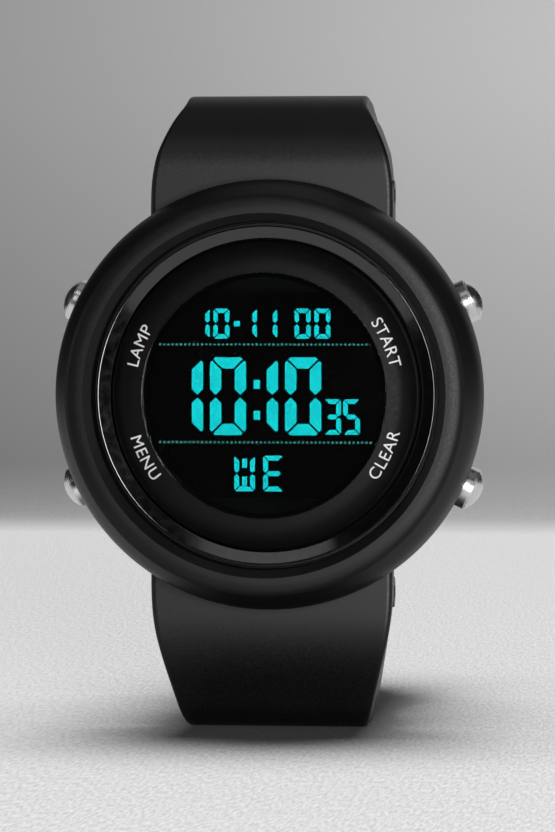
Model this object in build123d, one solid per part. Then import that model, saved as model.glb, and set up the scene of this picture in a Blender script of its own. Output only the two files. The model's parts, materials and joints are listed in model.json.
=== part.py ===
from build123d import *
import math
import os

# A digital watch that stands on its own strap, in millimetres.
# Each piece is drawn face up: +Z out of the dial, +Y to 12 o'clock, +X to 3 o'clock.
# Heights are in front of the plane where the case is widest. The last step stands it up.

# General clearances
overrun = 1.0
running_clearance = 0.05
seat_clearance = 0.05
body_clearance = 0.30

# Battery, which the module and the case grow from
battery_radius = 10.0
battery_thickness = 2.5
battery_edge = 0.25
battery_clearance = 0.15

# Module screws
module_screw_radius = 0.5
module_screw_head_radius = 0.95
module_screw_head_height = 0.5
module_screw_margin = 0.75
module_screw_skirt_gap = 0.15
module_screw_angles = (0, 60, 180, 240)
module_screw_depth = 2.6

# Module: cover, board and frame, each a step wider than the last
cover_wall = 1.05
board_margin = 2.2
board_thickness = 0.8
module_rim = 0.6
module_plate_thickness = 2.3
module_back_room = 2.35
lcd_locator_height = 0.4

# Case body: the shell behind the bezel
collar_height = 3.0
collar_rim = 0.3
case_wall_clearance = 0.2
case_shelf_width = 1.2
case_shelf_thickness = 1.0
case_rear_lip = 1.2

# Label ring: the black domed ring round the window. Its dome is laid out in shares of its
# width from the outer edge and of its rise
label_width = 3.8
label_skirt = 1.0
label_rise = 2.8
label_locator_width = 0.6
label_bore_step = 0.8
label_ledge_width = 0.45
label_ledge_thickness = 0.3
label_dome_shares = ((0, 0), (0.145, 0.482), (0.526, 0.864), (1, 1))

# Polished ring inside the bezel
polished_width = 1.55
polished_outer_rise = 2.1
polished_inner_rise = 1.5
polished_edge = 0.14

# Bezel: the fat matte ring round the face. Its crest is laid out in shares of its width
# from the bore and of its height
bezel_width = 4.9
bezel_bore_gap = 0.2
bezel_lead = 0.4
bezel_step_width = 0.05
bezel_step_share = 0.889
bezel_foot_share = 0.898
bezel_crest_shares = ((0.184, 1), (0.388, 0.989), (0.571, 0.903), (0.888, 0.542), (1, 0.125))

# Crystal and its gasket
crystal_thickness = 1.05
crystal_edge = 0.15
crystal_gasket_thickness = 0.15

# Elastomer connector strips, above and below the figures
strip_half_length = 6.0
strip_width = 1.2
strip_inset = 2.0
strip_glass_gap = 0.3

# Display cell
polariser_thickness = 0.15
polariser_margin = 0.5
glass_thickness = 0.5
glass_clearance = 0.2
liquid_thickness = 0.1
rear_polariser_margin = 0.3
backlight_thickness = 0.5
backlight_margin = 0.4
backlight_side_margin = 1.9

# Backlight lamp, beside the backlight panel
lamp_length = 2.4
lamp_width = 1.2

# Figures on the display, in shares of the window's radius from its middle. A row is its foot,
# height, figure width, bar thickness, gap between bars and cut of the outer corners
date_row_shares = (0.4617, 0.2439, 0.131, 0.0365, 0.006, 0.018)
date_one_shares = (-0.4709, -0.0848, 0.0811)
date_zero_shares = (-0.3571, 0.3058, 0.4672)
date_dash_shares = (-0.231, 0.583)
date_dash_size_shares = (0.049, 0.043)
time_row_shares = (-0.3223, 0.6323, 0.294, 0.0915, 0.012, 0.044)
time_one_shares = (-0.554, 0.0595)
time_zero_shares = (-0.3033, 0.3103)
colon_shares = ((-0.0677, 0.0913), (-0.0677, -0.1619))
colon_size_shares = (0.0505, 0.0714)
seconds_row_shares = (-0.3165, 0.288, 0.1378, 0.039, 0.006, 0.018)
seconds_place_shares = (0.55, 0.7049)
day_row_shares = (-0.7792, 0.2906, 0.1688, 0.0395, 0.006, 0.018)
day_place_shares = (-0.1675, 0.0689)
divider_half_length_share = 0.8662
divider_row_shares = (0.4141, -0.3808)
divider_pitch_share = 0.0344
divider_dot_shares = (0.0155, 0.0155)

# Parts on the board
chip_radius = 3.0
chip_height = 1.0
chip_x = -4.0
chip_y = 3.0
quartz_radius = 0.95
quartz_length = 5.6
quartz_x = 5.0
quartz_y = -5.0
recess_clearance = 0.4

# Metalwork round the battery
contact_plate_thickness = 0.2
contact_plate_radius = 4.0
contact_arm_inset = 0.8
contact_arm_width = 2.0
contact_arm_count = 3
clip_thickness = 0.2
clip_half_width = 3.0
clip_eye_radius = 1.3

# Sounder, its contact spring
sounder_clearance = 0.65
sounder_thickness = 0.2
sounder_cell_margin = 3.8
sounder_cell_thickness = 0.15
sounder_spring_inset = 0.9
sounder_spring_radius = 0.6
sounder_spring_wire = 0.16
sounder_spring_turns = 9
sounder_spring_angle = -45.0

# Case back, gasket and screws
back_thickness = 1.2
back_edge = 0.35
back_rim = 0.25
back_dish_margin = 5.0
back_dish_depth = 0.25
back_gasket_inset = 0.75
back_gasket_radius = 0.36
back_screw_inset = 0.39
back_screw_angles = (45, 135, 225, 315)
back_screw_radius = 0.6
back_screw_head_radius = 1.05
back_screw_head_height = 0.55
back_screw_depth = 2.4
screw_slot_width = 0.28
screw_slot_depth = 0.25

# Push buttons
button_angle = 25.5
button_rise = 3.5
button_travel = 1.0
button_standout = 0.85
button_cap_radius = 2.5
button_cap_length = 2.5
button_crown = 1.15
button_dome_rim_radius = 2.3
button_line_depth = 0.12
button_line_width = 0.16
button_wall = 0.5
button_floor_clearance = 0.25
button_stem_radius = 0.8
bush_outer_radius = 1.7
bush_lip_length = 0.9
ring_seal_reach = 2.0
ring_seal_radius = 0.16
retainer_thickness = 0.25
retainer_radius = 1.45
retainer_groove_depth = 0.22
return_spring_radius = 1.45
return_spring_wire = 0.3
return_spring_turns = 4
contact_leaf_thickness = 0.15
contact_leaf_width = 2.4
contact_leaf_gap = 0.15
contact_leaf_length = 2.8

# Strap, width: at the waist, and what it gains or loses from there
waist_width = 21.3
shoulder_growth = 7.1
buckle_end_cut = 1.3
tail_cut = 0.6
shoulder_taper_length = 8.9
lower_shoulder_taper_length = 14.6
upper_shoulder_inset = 2.5
lower_shoulder_inset = 0.6
upper_view_tilt = 35.0
upper_shoulder_round = 14.0
upper_waist_round = 6.0
lower_view_tilt = 25.0
lower_shoulder_round = 26.0
lower_waist_round = 5.0
taper_start_back = 16.0
taper_end_reach = 25.0

# Strap ends at the case
spring_bar_inset = 1.8
spring_bar_rise = 1.8
spring_bar_radius = 0.75
pocket_depth = 3.3
pocket_ceiling = -0.8
lug_thickness = 3.0
lug_cheek = 1.6
lug_round_radius = 1.7
strap_knuckle_radius = 1.8
strap_root_gap = 0.4

# Strap, side view: the corners of its middle line, each from the one before it, and the radius
# of each bend. back is behind the widest plane
strap_thickness = 3.0
tail_thickness = 2.2
upper_front_reach = 11.2
upper_front_back = 3.2
upper_front_bend = 7.5
upper_crown_lean = 3.4
upper_crown_rise = 19.0
upper_crown_bend = 30.0
upper_rear_lean = 4.0
upper_rear_bend = 10.0
upper_rear_back = 55.0
lower_front_reach = 6.3
lower_front_back = 2.4
lower_front_bend = 18.0
lower_foot_reach = 15.2
lower_foot_back = 6.6
lower_foot_bend = 3.8
lower_crown_rise = 22.0
lower_crown_bend = 30.0
lower_rear_lean = 11.4
lower_rear_bend = 20.0
overlap_gap = 0.55
tail_end_inset = 5.0
tail_ramp_start = -14.2
tail_ramp_end = -8.0
tail_end_round = 7.0

# Strap play: what the loop gives while it is buckled
loop_play = 0.5

# Buckle: pin, frame, tongue
buckle_pin_radius = 0.7
buckle_pin_up = -3.0
buckle_knuckle_radius = 1.75
buckle_side_gap = 0.5
buckle_frame_wall = 1.8
buckle_eye_radius = 1.6
buckle_bar_radius = 0.95
buckle_bar_reach = 10.6
buckle_bar_gap = 0.75
tongue_width = 1.9
tongue_thickness = 1.2
tongue_eye_radius = 1.35
tongue_overhang = 1.4
tongue_slot_clearance = 0.35
tongue_lift = 24.0
hole_side_clearance = 0.4
hole_clearance = 0.25
hole_pitch = 7.4
holes_below = 4
holes_above = 2

# Keepers
keeper_wall = 1.0
keeper_length = 4.2
keeper_side_clearance = 0.1
keeper_strap_clearance = 0.1
keeper_tail_clearance = 0.5
keeper_end_clearance = 0.6
fixed_keeper_up = 5.2
floating_keeper_travel = 2.6

# Radii that follow, from the battery outwards
module_screw_circle = battery_radius + battery_clearance + module_screw_head_radius + module_screw_margin
cover_skirt_radius = module_screw_circle + module_screw_head_radius + module_screw_skirt_gap
cover_radius = cover_skirt_radius + cover_wall
board_radius = cover_radius + board_margin
module_radius = board_radius + module_rim
case_cavity_radius = module_radius + case_wall_clearance
case_mouth_radius = module_radius - case_shelf_width
label_bore_radius = case_mouth_radius - label_locator_width
label_inner_radius = label_bore_radius - label_bore_step
label_ledge_radius = label_inner_radius - label_ledge_width
label_outer_radius = label_inner_radius + label_width
polished_inner_radius = label_outer_radius + seat_clearance
polished_outer_radius = polished_inner_radius + polished_width
collar_radius = polished_outer_radius + collar_rim
bezel_bore_radius = collar_radius + bezel_bore_gap
bezel_radius = bezel_bore_radius + bezel_width
bezel_foot_radius = bezel_bore_radius + bezel_foot_share * bezel_width
front_glass_radius = label_bore_radius - glass_clearance
polariser_radius = front_glass_radius - polariser_margin
strip_middle = front_glass_radius - strip_inset
rear_glass_half_height = strip_middle - strip_width / 2 - strip_glass_gap
rear_polariser_half_height = rear_glass_half_height - rear_polariser_margin
backlight_half_height = rear_polariser_half_height - backlight_margin
backlight_half_width = polariser_radius - backlight_side_margin
sounder_radius = cover_skirt_radius - sounder_clearance
sounder_spring_circle = sounder_radius - sounder_spring_inset
back_gasket_circle = case_cavity_radius + back_gasket_inset
back_screw_circle = back_gasket_circle + back_gasket_radius + back_screw_inset + back_screw_radius
back_radius = back_screw_circle + back_screw_head_radius + back_rim
case_rear_radius = back_radius + case_rear_lip

# Heights that follow, from the collar forwards and then backwards
label_outer_height = collar_height + label_skirt
label_inner_height = label_outer_height + label_rise
bezel_height = label_inner_height + bezel_lead
bezel_step_height = bezel_height * bezel_step_share
crystal_low = label_inner_height - crystal_thickness
gasket_low = crystal_low - crystal_gasket_thickness
ledge_low = gasket_low - label_ledge_thickness
display_top = ledge_low - seat_clearance
front_glass_top = display_top - polariser_thickness
liquid_top = front_glass_top - glass_thickness
rear_glass_top = liquid_top - liquid_thickness
rear_polariser_top = rear_glass_top - glass_thickness
backlight_top = rear_polariser_top - polariser_thickness
module_top = backlight_top - backlight_thickness
case_shelf_height = collar_height - case_shelf_thickness
board_top = case_shelf_height - module_plate_thickness
board_low = board_top - board_thickness
battery_top = board_low - contact_plate_thickness - running_clearance
battery_low = battery_top - battery_thickness
cover_floor_height = battery_low
clip_low = battery_low - clip_thickness
case_back_height = clip_low - module_back_room
back_low = case_back_height - back_thickness
sounder_top = case_back_height + sounder_thickness

# Button places that follow, as distances from the dial's axis
button_level = case_back_height + button_rise
button_cap_shoulder = bezel_radius + button_standout
button_cap_inner = button_cap_shoulder - button_cap_length
button_recess_floor = button_cap_inner - button_travel - button_floor_clearance
button_tip = button_cap_shoulder + button_crown
cap_pocket_floor = button_cap_shoulder - button_wall
contact_leaf_inner = cover_radius + contact_leaf_gap
button_stem_end = contact_leaf_inner + contact_leaf_thickness + button_travel + running_clearance
ring_seal_middle = case_cavity_radius + bush_lip_length + ring_seal_reach
bush_inner_radius = button_stem_radius + 2 * ring_seal_radius + running_clearance

# Strap places that follow
strap_width = waist_width + shoulder_growth
buckle_end_width = waist_width - buckle_end_cut
tail_width = buckle_end_width - tail_cut
buckle_frame_inner_width = buckle_end_width + 2 * buckle_side_gap
spring_bar_up = bezel_radius - spring_bar_inset
spring_bar_depth = case_back_height + spring_bar_rise
pocket_plane = spring_bar_up - pocket_depth
lug_outer = strap_width / 2 - lug_cheek
lug_inner = lug_outer - lug_thickness
spring_bar_length = 2 * lug_outer
strap_front = pocket_ceiling - body_clearance
upper_front_up = spring_bar_up + upper_front_reach
upper_crown_up = upper_front_up - upper_crown_lean
upper_crown_back = upper_rear_back - upper_crown_rise
upper_rear_up = upper_crown_up - upper_rear_lean
lower_front_up = -spring_bar_up - lower_front_reach
lower_foot_up = -spring_bar_up - lower_foot_reach
lower_crown_back = upper_rear_back - lower_crown_rise
lower_rear_up = lower_foot_up + lower_rear_lean
lower_bends = (lower_front_bend, lower_foot_bend, lower_crown_bend, lower_rear_bend)
tail_end_up = upper_rear_up - tail_end_inset
upper_shoulder = bezel_radius - upper_shoulder_inset
upper_waist = upper_shoulder + shoulder_taper_length
lower_shoulder = bezel_radius - lower_shoulder_inset
lower_waist = lower_shoulder + lower_shoulder_taper_length
taper_end_back = upper_rear_back - taper_end_reach
strap_rear_line = -upper_rear_back
tail_line = strap_rear_line - strap_thickness / 2 - overlap_gap - tail_thickness / 2
tail_face = tail_line - tail_thickness / 2
loop_reach = upper_rear_back + strap_thickness
loop_slide = 2 * math.radians(loop_play) * loop_reach

# Buckle and keeper places that follow
buckle_pin_depth = strap_rear_line - strap_thickness / 2 + buckle_knuckle_radius
buckle_bar_up = buckle_pin_up - buckle_bar_reach
buckle_bar_depth = tail_face - buckle_bar_gap - buckle_bar_radius
hole_width = tongue_width + 2 * hole_side_clearance
floating_keeper_up = fixed_keeper_up + keeper_length + floating_keeper_travel + keeper_end_clearance

BUTTONS = {
    "lamp": 180 - button_angle,
    "menu": 180 + button_angle,
    "start": button_angle,
    "clear": -button_angle,
}


def rod(radius, low, high, x=0, y=0):
    """A cylinder along Z between two heights."""
    return Pos(x, y, (low + high) / 2) * Cylinder(radius, high - low)


def tube(outer, inner, low, high, x=0, y=0):
    """A plain ring between two heights."""
    return rod(outer, low, high, x, y) - rod(inner, low - overrun, high + overrun, x, y)


def block(x_low, x_high, y_low, y_high, z_low, z_high):
    """A box between its lowest and highest corners."""
    middle = Pos((x_low + x_high) / 2, (y_low + y_high) / 2, (z_low + z_high) / 2)
    return middle * Box(x_high - x_low, y_high - y_low, z_high - z_low)


def turned(points):
    """Straight-sided profile of (radius, height) points, turned about the dial's axis."""
    profile = Plane.XZ * make_face(Polyline(*points, close=True))
    return revolve(profile, Axis.Z)


def cross_bar(radius, length, up, depth):
    """A cylinder along X."""
    return Pos(0, up, depth) * Rot(0, 90, 0) * Cylinder(radius, length)


def on_radius(angle):
    """Local Z runs outwards along a radius at the height of the buttons."""
    return Pos(0, 0, button_level) * Rot(0, 0, angle) * Rot(0, 90, 0)


def on_circle(radius, angles):
    """Places on a circle, at angles from 3 o'clock."""
    turns = [math.radians(angle) for angle in angles]
    return [(radius * math.cos(turn), radius * math.sin(turn)) for turn in turns]


def wound(radius, wire, low, high, turns):
    """The outer form of a small close coil: a thin sleeve with one rounded rib for each turn."""
    pitch = (high - low) / turns
    points = [(radius - wire, low), (radius - wire, high)]
    for n in reversed(range(turns)):
        points.append((radius - wire / 2, low + (n + 1) * pitch))
        points.append((radius, low + (n + 1 / 2) * pitch))
    points.append((radius - wire / 2, low))
    return turned(points)


# Case


def bezel():
    outline = [
        (bezel_bore_radius + across * bezel_width, up * bezel_height)
        for across, up in bezel_crest_shares
    ]
    foot = Polyline(
        (bezel_foot_radius, 0),
        (collar_radius + seat_clearance, 0),
        (collar_radius + seat_clearance, collar_height),
        (bezel_bore_radius, collar_height),
        (bezel_bore_radius, bezel_step_height - bezel_step_width),
        (bezel_bore_radius + bezel_step_width, bezel_step_height),
        outline[0],
    )
    crest = Spline(*outline, tangents=((1, 0), (0, -1)))
    underside = Line(outline[-1], (bezel_foot_radius, 0))
    return revolve(Plane.XZ * make_face(foot + crest + underside), Axis.Z)


def lug(x_low):
    """One strap lug at 12 o'clock, with the bore for the spring bar."""
    x_high = x_low + lug_thickness
    low = spring_bar_depth - lug_round_radius
    high = spring_bar_depth + lug_round_radius
    arm = block(x_low, x_high, pocket_plane - overrun, spring_bar_up, low, high)
    nose = Pos((x_low + x_high) / 2, spring_bar_up, spring_bar_depth) * Rot(0, 90, 0)
    return arm + nose * Cylinder(lug_round_radius, lug_thickness)


def case_body():
    shell = turned(
        [
            (case_cavity_radius, case_back_height),
            (case_rear_radius, case_back_height),
            (bezel_foot_radius, 0),
            (collar_radius, 0),
            (collar_radius, collar_height),
            (case_mouth_radius, collar_height),
            (case_mouth_radius, case_shelf_height),
            (case_cavity_radius, case_shelf_height),
        ]
    )
    half = strap_width / 2 + body_clearance
    pocket = block(
        -half, half, pocket_plane, bezel_radius + overrun, case_back_height - overrun, pocket_ceiling
    )
    lugs = lug(lug_inner) + lug(-lug_outer)
    bore = cross_bar(
        spring_bar_radius + running_clearance, strap_width + overrun, spring_bar_up, spring_bar_depth
    )
    for side in (0, 180):
        shell = shell - Rot(0, 0, side) * pocket
        shell = shell + Rot(0, 0, side) * (lugs - bore)
    recess = rod(
        button_cap_radius + 2 * running_clearance, button_recess_floor, bezel_radius + overrun
    )
    passage = rod(bush_outer_radius, case_cavity_radius - overrun, button_recess_floor + overrun)
    for angle in BUTTONS.values():
        shell = shell - on_radius(angle) * (recess + passage)
    groove = tube(
        back_gasket_circle + back_gasket_radius,
        back_gasket_circle - back_gasket_radius,
        case_back_height,
        case_back_height + back_gasket_radius,
    )
    shell = shell - groove
    for x, y in on_circle(back_screw_circle, back_screw_angles):
        shell = shell - rod(
            back_screw_radius + running_clearance,
            case_back_height - overrun,
            case_back_height + back_screw_depth + body_clearance,
            x,
            y,
        )
    return shell


def polished_ring():
    outer_height = collar_height + polished_outer_rise
    inner_height = collar_height + polished_inner_rise
    return turned(
        [
            (polished_inner_radius, collar_height),
            (polished_outer_radius, collar_height),
            (polished_outer_radius, outer_height - polished_edge),
            (polished_outer_radius - polished_edge, outer_height),
            (polished_inner_radius + polished_edge, inner_height),
            (polished_inner_radius, inner_height - polished_edge),
        ]
    )


def label_ring():
    inside = Polyline(
        (label_inner_radius, label_inner_height),
        (label_inner_radius, gasket_low),
        (label_ledge_radius, gasket_low),
        (label_ledge_radius, ledge_low),
        (label_bore_radius, ledge_low),
        (label_bore_radius, collar_height + lcd_locator_height),
        (case_mouth_radius, collar_height + lcd_locator_height),
        (case_mouth_radius, collar_height),
        (label_outer_radius, collar_height),
        (label_outer_radius, label_outer_height),
    )
    outline = [
        (label_outer_radius - across * label_width, label_outer_height + up * label_rise)
        for across, up in label_dome_shares
    ]
    return revolve(Plane.XZ * make_face(inside + Spline(*outline)), Axis.Z)


def crystal():
    radius = label_inner_radius - seat_clearance
    disc = rod(radius, crystal_low, label_inner_height)
    return chamfer(disc.edges().group_by(Axis.Z)[-1], crystal_edge)


def crystal_gasket():
    return tube(label_inner_radius - seat_clearance, label_ledge_radius, gasket_low, crystal_low)


# Display


def clipped_disc(radius, half_height, low, high):
    """A disc with a flat at the top and at the bottom."""
    return rod(radius, low, high) & block(-radius, radius, -half_height, half_height, low, high)


def front_polariser():
    return rod(polariser_radius, front_glass_top, display_top)


def front_glass():
    return rod(front_glass_radius, liquid_top, front_glass_top)


def rear_glass():
    return clipped_disc(
        front_glass_radius, rear_glass_half_height, rear_polariser_top, rear_glass_top
    )


def rear_polariser():
    return clipped_disc(
        polariser_radius, rear_polariser_half_height, backlight_top, rear_polariser_top
    )


def backlight_panel():
    return block(
        -backlight_half_width,
        backlight_half_width,
        -backlight_half_height,
        backlight_half_height,
        module_top,
        backlight_top,
    ) & rod(polariser_radius, module_top, backlight_top)


def backlight_lamp():
    inner = backlight_half_width + seat_clearance
    return block(
        inner, inner + lamp_width, -lamp_length / 2, lamp_length / 2, module_top, backlight_top
    )


def bar_across(x, y, width, bar, gap):
    """A level bar of a figure, with slanted ends."""
    reach = width / 2 - gap
    return [
        (x - reach, y),
        (x - reach + bar / 2, y + bar / 2),
        (x + reach - bar / 2, y + bar / 2),
        (x + reach, y),
        (x + reach - bar / 2, y - bar / 2),
        (x - reach + bar / 2, y - bar / 2),
    ]


def edge_across(x, edge, width, bar, gap, cut, side):
    """The top or bottom bar of a figure, whose long side is the edge and has its corners cut."""
    reach = width / 2
    near = (cut + gap) / 2
    across = (cut - gap) / 2
    return [
        (x - reach + cut, edge),
        (x + reach - cut, edge),
        (x + reach - near, edge - side * across),
        (x + reach - gap - bar, edge - side * bar),
        (x - reach + gap + bar, edge - side * bar),
        (x - reach + near, edge - side * across),
    ]


def edge_upright(x, low, high, bar, gap, cut, side, end):
    """An upright bar. side is where its long edge lies, end is where the figure's corner is."""
    outer = x + side * bar / 2
    inner = x - side * bar / 2
    corner, middle = (high, low) if end > 0 else (low, high)
    slant = end * bar / 2
    return [
        (outer, corner - end * cut),
        (outer - side * (cut - gap) / 2, corner - end * (cut + gap) / 2),
        (inner, corner - end * (gap + bar)),
        (inner, middle + slant + end * gap),
        (x, middle + end * gap),
        (outer, middle + slant + end * gap),
    ]


def figure(x, foot, height, width, bar, gap, cut, lit):
    """The lit bars of one seven-bar figure: top, middle, bottom, then the four uprights."""
    middle = foot + height / 2
    top = foot + height
    left = x - width / 2 + bar / 2
    right = x + width / 2 - bar / 2
    shapes = {
        "top": edge_across(x, top, width, bar, gap, cut, 1),
        "middle": bar_across(x, middle, width - bar, bar, gap),
        "bottom": edge_across(x, foot, width, bar, gap, cut, -1),
        "upper_left": edge_upright(left, middle, top, bar, gap, cut, -1, 1),
        "upper_right": edge_upright(right, middle, top, bar, gap, cut, 1, 1),
        "lower_left": edge_upright(left, foot, middle, bar, gap, cut, -1, -1),
        "lower_right": edge_upright(right, foot, middle, bar, gap, cut, 1, -1),
        "upper_stroke": bar_across_upright(x, middle, top, bar, gap),
        "lower_stroke": bar_across_upright(x, foot, middle, bar, gap),
    }
    return [shapes[name] for name in lit]


def bar_across_upright(x, low, high, bar, gap):
    """A short upright bar in the middle of a letter, square at both ends."""
    return [
        (x - bar / 2, low + gap + bar),
        (x + bar / 2, low + gap + bar),
        (x + bar / 2, high - gap - bar / 2),
        (x - bar / 2, high - gap - bar / 2),
    ]


def rectangle(x, y, width, height):
    return [
        (x - width / 2, y - height / 2),
        (x + width / 2, y - height / 2),
        (x + width / 2, y + height / 2),
        (x - width / 2, y + height / 2),
    ]


UPRIGHTS = ["upper_left", "upper_right", "lower_left", "lower_right"]
ONE = ["upper_right", "lower_right"]
ZERO = ["top", "bottom"] + UPRIGHTS
THREE = ["top", "middle", "bottom"] + ONE
FIVE = ["top", "middle", "bottom", "upper_left", "lower_right"]
LETTER_W = ["bottom", "lower_stroke", "upper_stroke"] + UPRIGHTS
LETTER_E = ["top", "middle", "bottom", "upper_left", "lower_left"]


def one_place(right_edge_middle, width, bar):
    """The middle of a figure whose right-hand bar is at a place."""
    return right_edge_middle - width / 2 + bar / 2


def display_outlines():
    shapes = []
    rows = (
        (date_row_shares, date_one_shares, date_zero_shares),
        (time_row_shares, time_one_shares, time_zero_shares),
    )
    for row, ones, zeros in rows:
        for place in ones:
            shapes += figure(one_place(place, *row[2:4]), *row, ONE)
        for place in zeros:
            shapes += figure(place, *row, ZERO)
    for place, lit in zip(seconds_place_shares, (THREE, FIVE)):
        shapes += figure(place, *seconds_row_shares, lit)
    for place, lit in zip(day_place_shares, (LETTER_W, LETTER_E)):
        shapes += figure(place, *day_row_shares, lit)
    shapes.append(rectangle(*date_dash_shares, *date_dash_size_shares))
    for place in colon_shares:
        shapes.append(rectangle(*place, *colon_size_shares))
    return shapes


def lit_areas(outlines):
    """Thin solids between the two glasses, one for each lit area, as large as the window asks."""
    solids = []
    for points in outlines:
        scaled = [(x * label_inner_radius, y * label_inner_radius) for x, y in points]
        face = make_face(Polyline(*scaled, close=True))
        solids.append(extrude(Pos(0, 0, rear_glass_top) * face, liquid_thickness).solid())
    return Compound(solids)


def display_figures():
    return lit_areas(display_outlines())


def display_dividers():
    steps = int(divider_half_length_share / divider_pitch_share)
    places = [n * divider_pitch_share for n in range(-steps, steps + 1)]
    return lit_areas(
        [rectangle(x, y, *divider_dot_shares) for y in divider_row_shares for x in places]
    )


def connector_strips():
    strips = []
    for side in (-1, 1):
        low = side * strip_middle - strip_width / 2
        strip = block(
            -strip_half_length, strip_half_length, low, low + strip_width, board_top, liquid_top
        )
        strips.append(strip.solid())
    return Compound(strips)


# Module


def module_frame():
    plate = rod(module_radius, board_top, case_shelf_height - seat_clearance)
    frame = plate + rod(front_glass_radius, board_top, module_top)
    half = strip_half_length + seat_clearance
    for side in (-1, 1):
        low = side * strip_middle - strip_width / 2 - seat_clearance
        high = side * strip_middle + strip_width / 2 + seat_clearance
        slot = block(-half, half, low, high, board_top - overrun, module_top + overrun)
        frame = frame - slot
    chip_room = rod(
        chip_radius + recess_clearance,
        board_top - overrun,
        board_top + chip_height + recess_clearance,
        chip_x,
        chip_y,
    )
    reach = quartz_length / 2 + recess_clearance
    side = quartz_radius + recess_clearance
    quartz_room = block(
        quartz_x - reach,
        quartz_x + reach,
        quartz_y - side,
        quartz_y + side,
        board_top - overrun,
        board_top + 2 * quartz_radius + recess_clearance,
    )
    frame = frame - chip_room - quartz_room
    for x, y in on_circle(module_screw_circle, module_screw_angles):
        tip = board_top + module_screw_depth
        frame = frame - rod(
            module_screw_radius + running_clearance, board_top - overrun, tip + body_clearance, x, y
        )
    return frame


def circuit_board():
    board = rod(board_radius, board_low, board_top)
    for x, y in on_circle(module_screw_circle, module_screw_angles):
        hole = module_screw_radius + running_clearance
        board = board - rod(hole, board_low - overrun, board_top + overrun, x, y)
    return board


def chip_cover():
    """The domed blob of resin over the chip."""
    crown = (chip_radius**2 + chip_height**2) / (2 * chip_height)
    ball = Pos(chip_x, chip_y, board_top + chip_height - crown) * Sphere(crown)
    return ball & rod(chip_radius, board_top, board_top + chip_height + overrun, chip_x, chip_y)


def quartz_can():
    middle = Pos(quartz_x, quartz_y, board_top + quartz_radius)
    return middle * Rot(0, 90, 0) * Cylinder(quartz_radius, quartz_length)


def module_cover():
    cover = rod(cover_radius, case_back_height, board_low)
    room = rod(cover_skirt_radius, case_back_height - overrun, cover_floor_height)
    pocket = rod(
        battery_radius + battery_clearance, cover_floor_height - overrun, board_low + overrun
    )
    cover = cover - room - pocket
    for x, y in on_circle(module_screw_circle, module_screw_angles):
        hole = module_screw_radius + running_clearance
        cover = cover - rod(hole, cover_floor_height - overrun, board_low + overrun, x, y)
    x, y = on_circle(sounder_spring_circle, [sounder_spring_angle])[0]
    passage = sounder_spring_radius + body_clearance
    return cover - rod(passage, cover_floor_height - overrun, board_low + overrun, x, y)


def battery_contact():
    """A flat star of spring sheet between the board and the battery."""
    low = board_low - contact_plate_thickness
    plate = rod(contact_plate_radius, low, board_low)
    reach = battery_radius - contact_arm_inset
    arm = block(0, reach, -contact_arm_width / 2, contact_arm_width / 2, low, board_low)
    for n in range(contact_arm_count):
        plate = plate + Rot(0, 0, n * 360 / contact_arm_count) * arm
    return plate


def battery():
    can = rod(battery_radius, battery_low, battery_top)
    ends = can.edges().group_by(Axis.Z)
    return chamfer(ends[0] + ends[-1], battery_edge)


def battery_clip():
    """A strap of spring sheet across the battery, with an eye under a screw at each end."""
    half = module_screw_circle
    clip = block(-half, half, -clip_half_width, clip_half_width, clip_low, battery_low)
    inside = rod(cover_skirt_radius - seat_clearance, clip_low, battery_low)
    for x in (-half, half):
        clip = clip + (inside & rod(clip_eye_radius, clip_low, battery_low, x))
    for x in (-half, half):
        clip = clip - rod(module_screw_radius + running_clearance, clip_low - overrun, board_low, x)
    return clip & inside


def slotted_screw(radius, head_radius, head_height, head_low, tip, x, y):
    """A screw along Z with its head at the back and a straight slot."""
    head = rod(head_radius, head_low, head_low + head_height, x, y)
    shank = rod(radius, head_low + head_height, tip, x, y)
    slot = block(
        x - head_radius - overrun,
        x + head_radius + overrun,
        y - screw_slot_width / 2,
        y + screw_slot_width / 2,
        head_low - overrun,
        head_low + screw_slot_depth,
    )
    return (head + shank - slot).solid()


def module_screws():
    tip = board_top + module_screw_depth
    screws = []
    for number, (x, y) in enumerate(on_circle(module_screw_circle, module_screw_angles)):
        seat = clip_low if number % 2 == 0 else cover_floor_height
        screws.append(
            slotted_screw(
                module_screw_radius,
                module_screw_head_radius,
                module_screw_head_height,
                seat - module_screw_head_height,
                tip,
                x,
                y,
            )
        )
    return Compound(screws)


def sounder_disc():
    """A brass disc stuck inside the case back, with the smaller ceramic cell on it."""
    disc = rod(sounder_radius, case_back_height, sounder_top)
    cell = rod(
        sounder_radius - sounder_cell_margin, sounder_top, sounder_top + sounder_cell_thickness
    )
    return disc + cell


def sounder_spring():
    x, y = on_circle(sounder_spring_circle, [sounder_spring_angle])[0]
    coil = wound(
        sounder_spring_radius, sounder_spring_wire, sounder_top, board_low, sounder_spring_turns
    )
    return Pos(x, y, 0) * coil


def contact_springs():
    """Four upright leaves on the edge of the board, one behind each button."""
    leaves = []
    for angle in BUTTONS.values():
        leaf = block(
            contact_leaf_inner,
            contact_leaf_inner + contact_leaf_thickness,
            -contact_leaf_width / 2,
            contact_leaf_width / 2,
            board_low - contact_leaf_length,
            board_low,
        )
        leaves.append((Rot(0, 0, angle) * leaf).solid())
    return Compound(leaves)


# Case back


def case_back():
    plate = rod(back_radius, back_low, case_back_height)
    plate = chamfer(plate.edges().group_by(Axis.Z)[0], back_edge)
    dish = rod(back_radius - back_dish_margin, back_low - overrun, back_low + back_dish_depth)
    plate = plate - dish
    for x, y in on_circle(back_screw_circle, back_screw_angles):
        seat = back_low + back_screw_head_height
        plate = plate - rod(
            back_screw_head_radius + running_clearance, back_low - overrun, seat, x, y
        )
        plate = plate - rod(
            back_screw_radius + running_clearance, back_low, case_back_height + overrun, x, y
        )
    return plate


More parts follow.
